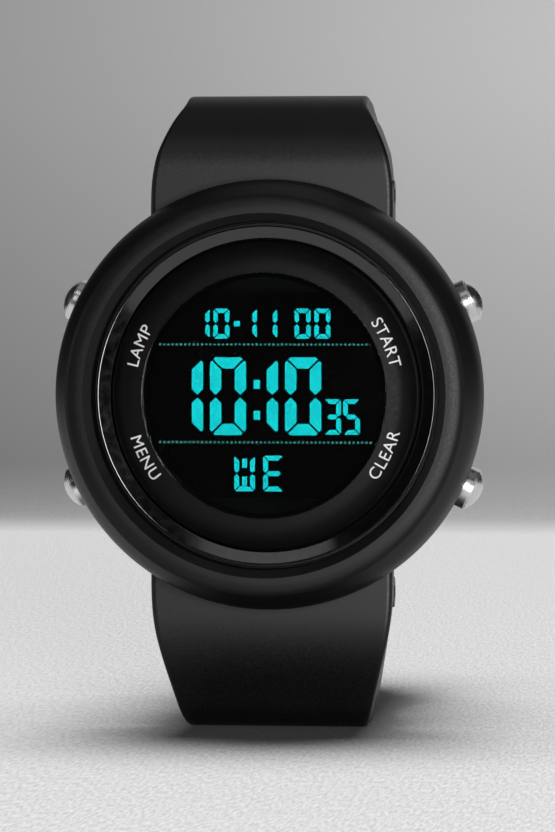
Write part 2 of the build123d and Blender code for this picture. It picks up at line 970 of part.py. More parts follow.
def back_gasket():
    circle = Pos(back_gasket_circle, 0, 0) * Circle(back_gasket_radius - running_clearance)
    ring = revolve(Plane.XZ * circle, Axis.Z)
    upper = tube(
        back_gasket_circle + back_gasket_radius,
        back_gasket_circle - back_gasket_radius,
        0,
        back_gasket_radius,
    )
    return Pos(0, 0, case_back_height) * (ring & upper)


def back_screws():
    tip = case_back_height + back_screw_depth
    return Compound(
        [
            slotted_screw(
                back_screw_radius,
                back_screw_head_radius,
                back_screw_head_height,
                back_low,
                tip,
                x,
                y,
            )
            for x, y in on_circle(back_screw_circle, back_screw_angles)
        ]
    )


# Push buttons, drawn along Z as distances from the dial's axis


def button_bushes():
    wide = tube(
        bush_outer_radius,
        bush_inner_radius,
        case_cavity_radius + bush_lip_length,
        button_recess_floor,
    )
    lip = tube(
        bush_outer_radius,
        button_stem_radius + running_clearance,
        case_cavity_radius,
        case_cavity_radius + bush_lip_length,
    )
    return Compound([(on_radius(angle) * (wide + lip)).solid() for angle in BUTTONS.values()])


def button(angle):
    """Domed cap on a stem. The cap is hollow behind, where the return spring sits."""
    cap = rod(button_cap_radius, button_cap_inner, button_cap_shoulder)
    line = button_cap_shoulder + button_line_width
    neck = rod(button_cap_radius - button_line_depth, button_cap_shoulder, line)
    rise = button_tip - line
    crown = (button_dome_rim_radius**2 + rise**2) / (2 * rise)
    ball = Pos(0, 0, button_tip - crown) * Sphere(crown)
    dome = ball & rod(button_dome_rim_radius, line, button_tip + overrun)
    hollow = tube(
        button_cap_radius - button_wall,
        button_stem_radius,
        button_cap_inner - overrun,
        cap_pocket_floor,
    )
    stem = rod(button_stem_radius, button_stem_end, button_cap_shoulder)
    groove_low = case_cavity_radius - running_clearance - retainer_thickness
    groove = tube(
        button_stem_radius + overrun,
        button_stem_radius - retainer_groove_depth,
        groove_low,
        groove_low + retainer_thickness,
    )
    return on_radius(angle) * (cap + neck + dome + stem - hollow - groove)


def button_seal(angle):
    middle = Pos(button_stem_radius + ring_seal_radius, ring_seal_middle)
    ring = revolve(Plane.XZ * (middle * Circle(ring_seal_radius)), Axis.Z)
    return on_radius(angle) * ring


def button_retainer(angle):
    """A flat ring with a gap, snapped into the groove of the stem."""
    low = case_cavity_radius - running_clearance - retainer_thickness
    inner = button_stem_radius - retainer_groove_depth
    ring = tube(retainer_radius, inner, low, low + retainer_thickness)
    mouth = block(0, retainer_radius + overrun, -inner, inner, low - overrun, low + overrun)
    return on_radius(angle) * (ring - mouth)


def button_spring(angle):
    coil = wound(
        return_spring_radius,
        return_spring_wire,
        button_recess_floor,
        cap_pocket_floor,
        return_spring_turns,
    )
    return on_radius(angle) * coil


# Strap


def offset_corners(points, distance):
    """The corners of a bent line moved sideways by a distance, to its left."""
    moved = []
    for n, point in enumerate(points):
        before = Vector(*points[max(n - 1, 0)])
        here = Vector(*point)
        after = Vector(*points[min(n + 1, len(points) - 1)])
        first = (here - before) if n > 0 else (after - here)
        second = (after - here) if n < len(points) - 1 else first
        first_side = Vector(-first.Y, first.X).normalized()
        second_side = Vector(-second.Y, second.X).normalized()
        middle = (first_side + second_side).normalized()
        moved.append(here + middle * (distance / middle.dot(first_side)))
    return moved


def turn_side(points, n):
    """1 where a bent line turns left at a corner, and -1 where it turns right."""
    first = Vector(*points[n]) - Vector(*points[n - 1])
    second = Vector(*points[n + 1]) - Vector(*points[n])
    return 1 if first.X * second.Y - first.Y * second.X > 0 else -1


def ribbon(points, bends, left, right, half_width):
    """A band of even width along a bent line, as thick as its two sides are apart."""
    sides = []
    for distance in (left, -right):
        radii = [
            bend - turn_side(points, n + 1) * distance for n, bend in enumerate(bends)
        ]
        sides.append(FilletPolyline(*offset_corners(points, distance), radius=radii))
    start = Line(sides[0] @ 0, sides[1] @ 0)
    end = Line(sides[0] @ 1, sides[1] @ 1)
    edges = sides[0].edges() + sides[1].edges() + start.edges() + end.edges()
    face = Plane.YZ * make_face(edges)
    return extrude(face, half_width, both=True)


def taper(tilt, direction, shoulder, waist, shoulder_round, waist_round):
    """The outline of the strap's shoulders, seen from a tilted direction, as a thick cutter."""
    wide = strap_width / 2
    narrow = waist_width / 2
    far = bezel_radius + loop_reach
    right = FilletPolyline(
        (wide, 0), (wide, shoulder), (narrow, waist), (narrow, far), radius=(shoulder_round, waist_round)
    )
    left = right.mirror(Plane.YZ)
    top = Line(right @ 1, left @ 1)
    foot = Line(right @ 0, left @ 0)
    edges = right.edges() + left.edges() + top.edges() + foot.edges()
    angle = math.radians(tilt)
    view = Plane(
        origin=(0, 0, 0), x_dir=(1, 0, 0), z_dir=(0, direction * math.sin(angle), math.cos(angle))
    )
    face = make_face(edges)
    if direction < 0:
        face = face.mirror(Plane.XZ)
    return extrude(view * face, far, both=True)


def rear_taper(end_width):
    """The outline of the strap from above: full in front, then narrowing to its end."""
    wide = strap_width / 2
    start = waist_width / 2
    end = end_width / 2
    far = loop_reach + 2 * overrun + strap_thickness
    points = [
        (wide, overrun),
        (wide, -taper_start_back),
        (start, -taper_start_back),
        (end, -taper_end_back),
        (end, -far),
    ]
    outline = points + [(-x, z) for x, z in reversed(points)]
    face = Plane.XZ * make_face(Polyline(*outline, close=True))
    return extrude(face, far, both=True)


def strap_root(direction):
    """Room for the lugs and the bore for the spring bar at the case end."""
    cuts = cross_bar(
        spring_bar_radius + running_clearance,
        strap_width + overrun,
        direction * spring_bar_up,
        spring_bar_depth,
    )
    reach = spring_bar_up + lug_round_radius + body_clearance
    front = spring_bar_depth + lug_round_radius + body_clearance
    for side in (-1, 1):
        inner = side * (lug_inner - body_clearance)
        outer = side * (lug_outer + body_clearance)
        low = min(direction * (pocket_plane - overrun), direction * reach)
        high = max(direction * (pocket_plane - overrun), direction * reach)
        cuts = cuts + block(
            min(inner, outer), max(inner, outer), low, high, case_back_height - overrun, front
        )
    return cuts


def upper_path():
    return [
        (pocket_plane + strap_root_gap, strap_front - strap_thickness / 2),
        (upper_front_up, -upper_front_back),
        (upper_crown_up, -upper_crown_back),
        (upper_rear_up, strap_rear_line),
        (buckle_pin_up, strap_rear_line),
    ]


def strap_upper():
    """The buckle half, from 12 o'clock over the top and down to the buckle's pin."""
    half = strap_thickness / 2
    bends = (upper_front_bend, upper_crown_bend, upper_rear_bend)
    band = ribbon(upper_path(), bends, half, half, strap_width / 2)
    band = band + cross_bar(strap_knuckle_radius, strap_width, spring_bar_up, spring_bar_depth)
    band = band & taper(
        upper_view_tilt, 1, upper_shoulder, upper_waist, upper_shoulder_round, upper_waist_round
    )
    band = band & rear_taper(buckle_end_width)
    band = band + cross_bar(
        buckle_knuckle_radius, buckle_end_width, buckle_pin_up, buckle_pin_depth
    )
    band = band - strap_root(1)
    band = band - cross_bar(
        buckle_pin_radius + running_clearance, strap_width, buckle_pin_up, buckle_pin_depth
    )
    slot_half = tongue_width / 2 + tongue_slot_clearance
    slot_reach = tongue_eye_radius + body_clearance
    return band - block(
        -slot_half,
        slot_half,
        buckle_pin_up - buckle_knuckle_radius - overrun,
        buckle_pin_up + slot_reach,
        tail_line,
        buckle_pin_depth + buckle_knuckle_radius + overrun,
    )


def lower_path():
    return [
        (-pocket_plane - strap_root_gap, strap_front - tail_thickness / 2),
        (lower_front_up, -lower_front_back),
        (lower_foot_up, -lower_foot_back),
        (lower_foot_up, -lower_crown_back),
        (lower_rear_up, tail_line),
        (tail_end_up, tail_line),
    ]


def tail_holes():
    """Long holes square to the tail, one of them round the tongue."""
    outer = tail_face - buckle_pin_depth
    swing = abs(outer) * math.sin(math.radians(tongue_lift))
    length = tongue_thickness + 2 * loop_slide + swing + 2 * hole_clearance
    first = buckle_pin_up - tongue_thickness / 2 - loop_slide - hole_clearance
    middle = first + length / 2
    line = FilletPolyline(*lower_path(), radius=lower_bends)
    outline = RectangleRounded(length, hole_width, hole_side_clearance)
    slot = extrude(outline, strap_thickness, both=True)
    cuts = []
    for n in range(-holes_below, holes_above + 1):
        distance = line.length - (tail_end_up - middle - n * hole_pitch)
        point = line.position_at(distance, position_mode=PositionMode.LENGTH)
        along = line.tangent_at(distance, position_mode=PositionMode.LENGTH)
        place = Plane(
            origin=(0, point.X, point.Y), x_dir=(0, along.X, along.Y), z_dir=(0, -along.Y, along.X)
        )
        cuts.append(place * slot)
    return cuts


def tail_relief():
    """What is taken off the inside of the tail, so that it lies flat on the buckle half."""
    thick = tail_line + strap_thickness - tail_thickness / 2
    thin = tail_line + tail_thickness / 2
    points = [
        (tail_ramp_start, thick),
        (tail_ramp_end, thin),
        (tail_end_up + overrun, thin),
        (tail_end_up + overrun, thick + overrun),
        (tail_ramp_start, thick + overrun),
    ]
    face = Plane.YZ * make_face(Polyline(*points, close=True))
    return extrude(face, strap_width, both=True)


def strap_lower():
    """The long half, from 6 o'clock under the watch, up the back and on past the buckle."""
    inside = strap_thickness - tail_thickness / 2
    band = ribbon(lower_path(), lower_bends, inside, tail_thickness / 2, strap_width / 2)
    band = band + cross_bar(strap_knuckle_radius, strap_width, -spring_bar_up, spring_bar_depth)
    band = band & taper(
        lower_view_tilt, -1, lower_shoulder, lower_waist, lower_shoulder_round, lower_waist_round
    )
    band = band & rear_taper(tail_width)
    band = band - strap_root(-1) - tail_relief()
    ends = band.edges().filter_by(Axis.Z).group_by(Axis.Y)[-1]
    band = fillet(ends, tail_end_round)
    for cut in tail_holes():
        band = band - cut
    return band


def spring_bar(direction):
    return cross_bar(
        spring_bar_radius, spring_bar_length, direction * spring_bar_up, spring_bar_depth
    )


# Buckle


def buckle_pin():
    length = buckle_frame_inner_width + 2 * buckle_frame_wall
    return cross_bar(buckle_pin_radius, length, buckle_pin_up, buckle_pin_depth)


def buckle_frame():
    """Two side arms from the pin's eyes to the bar that lies outside the tail."""
    eye = Pos(buckle_pin_up, buckle_pin_depth) * Circle(buckle_eye_radius)
    end = Pos(buckle_bar_up, buckle_bar_depth) * Circle(buckle_bar_radius)
    profile = make_hull(eye.edges() + end.edges())
    inner = buckle_frame_inner_width / 2
    arm = Pos(inner, 0, 0) * extrude(Plane.YZ * profile, buckle_frame_wall)
    outer_width = 2 * (inner + buckle_frame_wall)
    frame = arm + arm.mirror(Plane.YZ)
    frame = frame + cross_bar(buckle_bar_radius, outer_width, buckle_bar_up, buckle_bar_depth)
    return frame - cross_bar(
        buckle_pin_radius, outer_width + overrun, buckle_pin_up, buckle_pin_depth
    )


def buckle_tongue():
    """An eye on the pin, a shank out through the strap's hole, and a finger to the bar."""
    over_bar = buckle_bar_depth - buckle_bar_radius - seat_clearance - tongue_thickness / 2
    knee = tail_face - 2 * body_clearance - tongue_thickness / 2
    line = FilletPolyline(
        (buckle_pin_up, buckle_pin_depth),
        (buckle_pin_up, knee),
        (buckle_bar_up + buckle_bar_radius, over_bar),
        (buckle_bar_up - tongue_overhang, over_bar),
        radius=(tongue_thickness, 2 * tongue_thickness),
    )
    face = trace(line, tongue_thickness)
    tongue = extrude(Plane.YZ * face, tongue_width / 2, both=True)
    tongue = tongue + cross_bar(tongue_eye_radius, tongue_width, buckle_pin_up, buckle_pin_depth)
    return tongue - cross_bar(
        buckle_pin_radius + running_clearance, strap_width, buckle_pin_up, buckle_pin_depth
    )


def keeper(up, side_clearance):
    """A square loop round both layers of the strap."""
    half = buckle_end_width / 2 + side_clearance
    inner = strap_rear_line + strap_thickness / 2 + keeper_strap_clearance
    outer = tail_face - keeper_tail_clearance
    low = up - keeper_length / 2
    high = up + keeper_length / 2
    window = block(-half, half, low - overrun, high + overrun, outer, inner)
    band = block(
        -half - keeper_wall,
        half + keeper_wall,
        low,
        high,
        outer - keeper_wall,
        inner + keeper_wall,
    )
    return band - window


def fixed_keeper():
    return keeper(fixed_keeper_up, 0)


def floating_keeper():
    return keeper(floating_keeper_up, keeper_side_clearance)


# Standing: the rest face is the flat underside of the lower half


def rest_middle_back():
    """How far behind the widest plane the middle of the rest face is."""
    turn = math.atan2(lower_front_up - lower_foot_up, lower_foot_back - lower_front_back)
    front = lower_foot_back + lower_foot_bend * math.tan(turn / 2)
    rise = math.atan2(lower_rear_up - lower_foot_up, -tail_line - lower_crown_back)
    rear = lower_crown_back - lower_crown_bend * math.tan(rise / 2)
    return (front + rear) / 2


stand_height = -lower_foot_up + tail_thickness / 2
stand = Pos(0, -rest_middle_back(), stand_height) * Rot(90, 0, 0)


def pieces():
    """Every sub-part by name, drawn face up."""
    made = {
        "bezel": bezel(),
        "case_body": case_body(),
        "polished_ring": polished_ring(),
        "label_ring": label_ring(),
        "crystal": crystal(),
        "crystal_gasket": crystal_gasket(),
        "front_polariser": front_polariser(),
        "front_glass": front_glass(),
        "display_figures": display_figures(),
        "display_dividers": display_dividers(),
        "rear_glass": rear_glass(),
        "rear_polariser": rear_polariser(),
        "backlight_panel": backlight_panel(),
        "backlight_lamp": backlight_lamp(),
        "connector_strips": connector_strips(),
        "module_frame": module_frame(),
        "circuit_board": circuit_board(),
        "chip_cover": chip_cover(),
        "quartz_can": quartz_can(),
        "module_cover": module_cover(),
        "battery_contact": battery_contact(),
        "battery": battery(),
        "battery_clip": battery_clip(),
        "module_screws": module_screws(),
        "contact_springs": contact_springs(),
        "sounder_disc": sounder_disc(),
        "sounder_spring": sounder_spring(),
        "case_back": case_back(),
        "back_gasket": back_gasket(),
        "back_screws": back_screws(),
        "button_bushes": button_bushes(),
        "strap_upper": strap_upper(),
        "strap_lower": strap_lower(),
        "upper_spring_bar": spring_bar(1),
        "lower_spring_bar": spring_bar(-1),
        "buckle_pin": buckle_pin(),
        "buckle_frame": buckle_frame(),
        "buckle_tongue": buckle_tongue(),
        "fixed_keeper": fixed_keeper(),
        "floating_keeper": floating_keeper(),
    }
    for name, angle in BUTTONS.items():
        made[name + "_button"] = button(angle)
        made[name + "_seal"] = button_seal(angle)
        made[name + "_retainer"] = button_retainer(angle)
        made[name + "_spring"] = button_spring(angle)
    return made


os.makedirs("parts", exist_ok=True)
for name, piece in pieces().items():
    export_step(stand * piece, "parts/" + name + ".step")
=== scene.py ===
import json
import math

import bmesh
import bpy
from mathutils import Matrix, Vector

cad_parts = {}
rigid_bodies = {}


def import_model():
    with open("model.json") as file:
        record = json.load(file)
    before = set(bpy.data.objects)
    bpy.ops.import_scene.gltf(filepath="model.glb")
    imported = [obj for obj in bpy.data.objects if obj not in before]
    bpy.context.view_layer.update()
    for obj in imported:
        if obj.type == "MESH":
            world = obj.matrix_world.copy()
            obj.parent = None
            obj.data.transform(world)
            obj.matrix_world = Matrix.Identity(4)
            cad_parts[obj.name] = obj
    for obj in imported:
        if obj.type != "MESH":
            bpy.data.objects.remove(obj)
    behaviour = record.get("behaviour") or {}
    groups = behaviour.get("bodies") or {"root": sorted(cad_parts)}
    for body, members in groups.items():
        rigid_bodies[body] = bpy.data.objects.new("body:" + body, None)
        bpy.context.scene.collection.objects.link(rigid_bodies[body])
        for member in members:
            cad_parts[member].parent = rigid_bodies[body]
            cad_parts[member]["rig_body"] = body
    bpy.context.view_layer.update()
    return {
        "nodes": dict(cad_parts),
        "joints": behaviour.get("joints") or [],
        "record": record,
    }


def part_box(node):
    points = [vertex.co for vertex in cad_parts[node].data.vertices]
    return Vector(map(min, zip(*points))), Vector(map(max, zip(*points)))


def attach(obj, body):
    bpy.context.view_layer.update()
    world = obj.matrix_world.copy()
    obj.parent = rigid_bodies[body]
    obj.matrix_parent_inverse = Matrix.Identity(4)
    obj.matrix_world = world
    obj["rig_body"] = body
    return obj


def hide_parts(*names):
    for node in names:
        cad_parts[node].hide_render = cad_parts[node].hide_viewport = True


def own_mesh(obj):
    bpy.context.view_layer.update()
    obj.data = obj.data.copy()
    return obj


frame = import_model()

# Places come from the frame. Sizes are in millimetres, drawn face up: x to 3 o'clock, y to 12 o'clock,
# z out of the dial from the plane where the case is widest.
MM = 0.001
bezel_low, bezel_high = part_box("bezel")
DIAL = Vector(((bezel_low.x + bezel_high.x) / 2, bezel_high.y, (bezel_low.z + bezel_high.z) / 2))
FACE_UP = Matrix.Translation(DIAL) @ Matrix.Rotation(math.radians(90), 4, "X") @ Matrix.Scale(MM, 4)

# Camera, worked out from the photograph's 555 x 832 pixels
PHOTO_WIDTH = 555
PHOTO_HEIGHT = 832
CASE_CENTRE_PX = (270.0, 394.5)
MM_PER_PX = 0.1164
CAMERA_DISTANCE = 520.0
CAMERA_AZIMUTH = 6.3
CAMERA_ELEVATION = 1.6
SENSOR = 36.0

# How close to an edge a flat face is held flat
HOLD = 0.06
# Radius below which a lathe's point lies on its axis
ON_AXIS = 1e-6
# How near corners are merged, in metres: a lathe's, and a CAD mesh's
SEAM = 1e-7
WELD = 2e-6
# Degrees within which a CAD mesh's neighbouring faces count as one flat
FLAT = 0.5

# Case
ROUND_STEPS = 288
BEZEL_EDGE = 0.12
LABEL_EDGE = 0.1
SHELL_EDGE = 0.18
BACK_EDGE = 0.1
CREST_STEPS = 14
DOME_STEPS = 10
CREST = [(21.0, 7.2), (22.0, 7.13), (22.85, 6.88), (23.35, 6.3), (24.55, 3.8), (25.0, 0.9)]
BEZEL_FOOT = [(25.0, 0.9), (24.5, 0.0), (19.95, 0.0), (19.95, 3.0), (20.1, 3.0), (20.1, 6.35), (21.0, 7.2)]
RING_PROFILE = [(18.05, 3.0), (19.6, 3.0), (19.6, 5.1), (18.05, 4.5)]
RING_EDGE = 0.13
LABEL_DOME = [(18.0, 4.0), (17.45, 5.35), (16.0, 6.42), (14.2, 6.8)]
LABEL_INSIDE = [
    (14.2, 6.8), (14.2, 5.6), (13.75, 5.6), (13.75, 5.3), (15.0, 5.3), (15.0, 3.4), (15.6, 3.4), (15.6, 3.0),
    (18.0, 3.0), (18.0, 4.0),
]
CRYSTAL_RADIUS = 14.15
CRYSTAL_LOW = 5.83
CRYSTAL_HIGH = 6.8
CRYSTAL_EDGE = 0.03
BORDER = [(13.6, 5.77), (14.13, 5.77), (14.13, 5.81), (13.6, 5.81)]

# Printed words: text, angle of the word's middle from 3 o'clock, and whether its tops point outwards
WORDS = [("LAMP", 158.5, True), ("MENU", 207.5, False), ("START", 23.5, True), ("CLEAR", -26.0, False)]
WORD_RADIUS = 15.6
WORD_HEIGHT = 1.35
WORD_SPACING = 1.08
WORD_THICKNESS = 0.03
LETTER_EDGE = 0.3

# Gap drawn between the layers of the display
CELL_GAP = 0.012

# Dotted lines of the display
DOT_SIZE = 0.22
DOT_RADIUS = 0.13
DOT_THICKNESS = 0.08
DOT_PITCH = 0.4885
DOT_COUNT = 51

# Studio, in metres
TABLE_FRONT = -0.13
TABLE_HALF = 1.4
PAPER_HALF = 0.35
SWEEP_START = 0.47
SWEEP_RADIUS = 0.12
TABLE_DARK = "#cbcbcb"
TABLE_PALE = "#ececec"
TABLE_GLOW = 0.76
TABLE_GRAIN = (0.38, 2.4, 0.38)
SWEEP_STEPS = 24
SWEEP_FADE = (SWEEP_START - 0.06, SWEEP_START + 0.05)
# Painted shadow: ambient occlusion darkens the table's colour and glow near the watch, less so to its sides.
SHADOW_REACH = 0.05
SHADOW_RANGE = (0.64, 0.98)
SHADOW_DARKEST = 0.03
SHADOW_SIDES = (0.009, 0.03)
SHADOW_SIDE_LEVEL = 0.8
# Painted light on the backdrop: its paper is painted lighter to the right, and it glows more towards its top.
PAPER_SHADED = "#9c9c9c"
PAPER_LIT = "#dbdbdb"
PAPER_LOW_GLOW = 0.25
PAPER_HIGH_GLOW = 0.43
PAPER_HEIGHT = 0.1
PAPER_TOP = 1.3
PAPER_LIGHT_FADE = (-0.16, 0.12)
WORLD_GREY = "#202020"

# Lamps: degrees to the right of the dial's axis and above it, distance, width, height and power
LAMPS = {
    "key": (14.0, 2.0, 0.95, 0.26, 0.4, 8.3),
    "left_side": (-78.0, 6.0, 0.7, 0.3, 0.4, 0.5),
    "right_side": (80.0, 10.0, 0.7, 0.3, 0.4, 0.5),
    "card": (-3.0, 42.0, 0.8, 0.58, 0.2, 0.35),
    "top": (0.0, 84.0, 0.9, 0.8, 0.8, 0.5),
}

# Buttons, as distances from the dial's axis
BUTTON_PROFILE = [
    (0.8, 15.35), (0.8, 16.7), (0.58, 16.7), (0.58, 16.95), (0.8, 16.95), (0.8, 25.35), (2.0, 25.35),
    (2.0, 23.35), (2.5, 23.35), (2.5, 25.85), (2.38, 25.87), (2.38, 26.0), (2.3, 26.01),
]
BUTTON_TIP = 27.0
BUTTON_LEVEL = -2.9
BUTTON_EDGE = 0.09
BUTTON_STEPS = 96
BUTTON_DOME_STEPS = 12
SPRING_RADIUS = 1.3
SPRING_WIRE = 0.14
SPRING_LOW = 22.26
SPRING_HIGH = 25.19
SPRING_TURNS = 4
SPRING_LENGTH = SPRING_HIGH - SPRING_LOW

# Strap: corners of the middle line (towards 12 o'clock, in front) and the radius of each bend
UPPER_LINE = [(20.3, -2.6), (34.4, -3.2), (31.0, -36.0), (27.0, -55.0), (-3.0, -55.0)]
UPPER_BENDS = [7.5, 30.0, 10.0]
LOWER_LINE = [(-20.3, -2.2), (-29.5, -2.4), (-38.4, -6.6), (-38.4, -33.0), (-27.0, -58.15), (22.0, -58.15)]
LOWER_BENDS = [18.0, 3.8, 30.0, 20.0]
STRAP_THICKNESS = 3.0
TAIL_THICKNESS = 2.2
TAIL_RAMP = (-14.2, -8.0)
STRAP_HALF = 14.2
WAIST_HALF = 10.65
BUCKLE_HALF = 10.0
TAIL_HALF = 9.7
TAIL_END = 22.0
TAIL_ROUND = 7.0
TIP_STEPS = 16
UPPER_TILT = 35.0
UPPER_TAPER = (22.5, 31.4)
UPPER_TAPER_ROUNDS = (14.0, 6.0)
LOWER_TILT = 25.0
LOWER_TAPER = (24.4, 39.0)
LOWER_TAPER_ROUNDS = (26.0, 5.0)
TAPER_REACH = 120.0
REAR_TAPER = (-16.0, -30.0)
STRAP_EDGE = 0.6
SPRING_BAR = (23.2, -4.6)
BAR_BORE = 0.8
KNUCKLE = 1.8
KNUCKLE_INSET = 0.05
LUG_SPAN = (9.3, 12.9)
LUG_ROOM = (18.9, 25.2)
LUG_LOW = -9.0
LUG_TOP = -2.6
PIN_PLACE = (-3.0, -54.75)
PIN_BORE = 0.75
PIN_KNUCKLE = 1.75
PIN_KNUCKLE_INSET = 0.04
TONGUE_SLOT_HALF = 1.3
TONGUE_SLOT_UP = (-3.0, 1.65)
TONGUE_SLOT_DEPTH = (-60.0, -50.0)
HOLE_LENGTH = 5.55
HOLE_WIDTH = 2.7
HOLE_CORNER = 0.4
HOLE_MIDDLE = -2.085
HOLE_PITCH = 7.4
HOLES_BELOW = 4
HOLES_ABOVE = 2

# Buckle and keepers: node, name and how far the edges are rounded
BUCKLE_PIECES = [
    ("buckle_frame", "buckle_loop", 0.4), ("buckle_tongue", "buckle_pin_tongue", 0.3),
    ("fixed_keeper", "fixed_strap_keeper", 0.35), ("floating_keeper", "sliding_strap_keeper", 0.35),
]
BUCKLE_SEGMENTS = 4


# Mesh helpers


def new_piece(name, bm):
    """A mesh object at the origin from a bmesh whose places are already in the row's frame."""
    mesh = bpy.data.meshes.new(name)
    bm.to_mesh(mesh)
    bm.free()
    piece = bpy.data.objects.new(name, mesh)
    bpy.context.scene.collection.objects.link(piece)
    return piece


def smooth_shade(piece, degrees=32):
    piece.data.shade_smooth()
    piece.data.set_sharp_from_angle(angle=math.radians(degrees))


def applied(piece):
    """The piece with its modifiers worked into its mesh."""
    bpy.context.view_layer.update()
    view = bpy.context.evaluated_depsgraph_get()
    mesh = bpy.data.meshes.new_from_object(piece.evaluated_get(view))
    piece.modifiers.clear()
    piece.data = mesh
    return piece


def curve_through(points, steps, before_first=None, after_last=None):
    """A smooth line through points (Catmull-Rom), ends included."""
    line = []
    known = [before_first or points[0]] + list(points) + [after_last or points[-1]]
    for n in range(len(points) - 1):
        before, start, end, after = [Vector(point) for point in known[n:n + 4]]
        for step in range(steps):
            t = step / steps
            line.append(
                0.5 * (2 * start + (end - before) * t
                       + (2 * before - 5 * start + 4 * end - after) * t * t
                       + (3 * start - before - 3 * end + after) * t ** 3)
            )
    line.append(Vector(points[-1]))
    return line


def rounded(points, radius, steps=4, closed=True):
    """A 2-D outline with its corners rounded by arcs, each limited by its shorter edge."""
    line = []
    count = len(points)
    for n in range(count):
        here = Vector(points[n])
        if not closed and n in (0, count - 1):
            line.append(here)
            continue
        before = Vector(points[n - 1]) - here
        after = Vector(points[(n + 1) % count]) - here
        turn = before.angle(after)
        cut = min(radius / math.tan(turn / 2), 0.45 * before.length, 0.45 * after.length)
        if cut < 1e-4:
            line.append(here)
            continue
        start = here + before.normalized() * cut
        end = here + after.normalized() * cut
        for step in range(steps + 1):
            t = step / steps
            line.append((1 - t) ** 2 * start + 2 * t * (1 - t) * here + t * t * end)
    return line


def held(points, closed=True):
    """An outline with a point close to each end of its long runs, which keeps flat faces flat in shade."""
    line = []
    count = len(points)
    for n in range(count):
        here = Vector(points[n])
        line.append(here)
        if n == count - 1 and not closed:
            break
        run = Vector(points[(n + 1) % count]) - here
        if run.length > 6 * HOLD:
            line += [here + run.normalized() * HOLD, here + run - run.normalized() * HOLD]
    return line


def lathe(name, profile, place=FACE_UP, steps=ROUND_STEPS):
    """A closed profile of (radius, height) points turned about the place's Z axis."""
    bm = bmesh.new()
    rings = []
    on_axis = profile[0][0] < ON_AXIS and profile[-1][0] < ON_AXIS
    for radius, height in held(profile, not on_axis):
        if radius < ON_AXIS:
            rings.append([bm.verts.new(place @ Vector((0, 0, height)))])
            continue
        ring = []
        for step in range(steps):
            turn = 2 * math.pi * step / steps
            spot = Vector((radius * math.cos(turn), radius * math.sin(turn), height))
            ring.append(bm.verts.new(place @ spot))
        rings.append(ring)
    pairs = list(zip(rings, rings[1:]))
    if len(rings[0]) > 1 or len(rings[-1]) > 1:
        pairs.append((rings[-1], rings[0]))
    for first, second in pairs:
        if len(first) == 1 and len(second) == 1:
            continue
        for step in range(steps):
            following = (step + 1) % steps
            loop = [first[step % len(first)], first[following % len(first)]]
            loop += [second[following % len(second)], second[step % len(second)]]
            corners = list(dict.fromkeys(loop))
            if len(corners) > 2:
                bm.faces.new(corners)
    bmesh.ops.remove_doubles(bm, verts=bm.verts, dist=SEAM)
    bmesh.ops.recalc_face_normals(bm, faces=bm.faces)
    piece = new_piece(name, bm)
    smooth_shade(piece)
    return piece


def softened(node, name, width, segments=3, degrees=30):
    """A copy of a CAD node with its edges rounded."""
    bm = bmesh.new()
    bm.from_mesh(frame["nodes"][node].data)
    bmesh.ops.remove_doubles(bm, verts=bm.verts, dist=WELD)
    bmesh.ops.dissolve_limit(bm, angle_limit=math.radians(FLAT), verts=bm.verts, edges=bm.edges)
    piece = new_piece(name, bm)
    smooth_shade(piece, degrees)
    bevel = piece.modifiers.new("edges", "BEVEL")
    bevel.width = width * MM
    bevel.segments = segments
    bevel.limit_method = "ANGLE"
    bevel.angle_limit = math.radians(degrees)
    bevel.harden_normals = True
    applied(piece)
    return piece


def carve(piece, cutter, operation="DIFFERENCE"):
    """Cuts one mesh with another, or joins it, and throws the cutter away."""
    boolean = piece.modifiers.new("cut", "BOOLEAN")
    boolean.operation = operation
    boolean.solver = "EXACT"
    boolean.object = cutter
    applied(piece)
    bpy.data.objects.remove(cutter)
    return piece


def prism(name, outline, low, high, place):
    """A 2-D outline as a solid between two heights of a place."""
    bm = bmesh.new()
    rings = [[bm.verts.new(place @ Vector((x, y, z))) for x, y in outline] for z in (low, high)]
    count = len(outline)
    for n in range(count):
        following = (n + 1) % count
        bm.faces.new([rings[0][n], rings[0][following], rings[1][following], rings[1][n]])
    bm.faces.new(list(reversed(rings[0])))
    bm.faces.new(rings[1])
    bmesh.ops.recalc_face_normals(bm, faces=bm.faces)
    return new_piece(name, bm)


def circle(x, y, radius, steps=40):
    turns = [2 * math.pi * step / steps for step in range(steps)]
    return [(x + radius * math.cos(turn), y + radius * math.sin(turn)) for turn in turns]


def side_on():
    """A place whose x runs towards 12 o'clock, y out of the dial, and z across the watch."""
    across = Matrix(((0, 0, 1, 0), (1, 0, 0, 0), (0, 1, 0, 0), (0, 0, 0, 1)))
    return FACE_UP @ across


# Geometry Nodes helpers


def node_tree_with(name, values):
    """A new node tree with named number inputs, and the sockets that give them."""
    tree = bpy.data.node_groups.new(name, "GeometryNodeTree")
    for key, value in values.items():
        made = tree.interface.new_socket(key, in_out="INPUT", socket_type="NodeSocketFloat")
        made.default_value = value
    tree.interface.new_socket("Geometry", in_out="OUTPUT", socket_type="NodeSocketGeometry")
    entry = tree.nodes.new("NodeGroupInput")
    return tree, {key: entry.outputs[key] for key in values}


def end_tree(tree, geometry, material):
    whole = add(tree, "GeometryNodeRealizeInstances", {"Geometry": geometry})
    painted = add(tree, "GeometryNodeSetMaterial", {"Geometry": whole.outputs[0], "Material": material})
    exit_node = tree.nodes.new("NodeGroupOutput")
    tree.links.new(painted.outputs[0], exit_node.inputs[0])
    return tree


def grown(name, tree, values):
    """The plain mesh that a node tree makes with some of its inputs set."""
    piece = new_piece(name, bmesh.new())
    nodes = piece.modifiers.new("grow", "NODES")
    nodes.node_group = tree
    for item in tree.interface.items_tree:
        if item.item_type == "SOCKET" and item.in_out == "INPUT":
            nodes[item.identifier] = float(values.get(item.name, item.default_value))
    return applied(piece)


# Material helpers


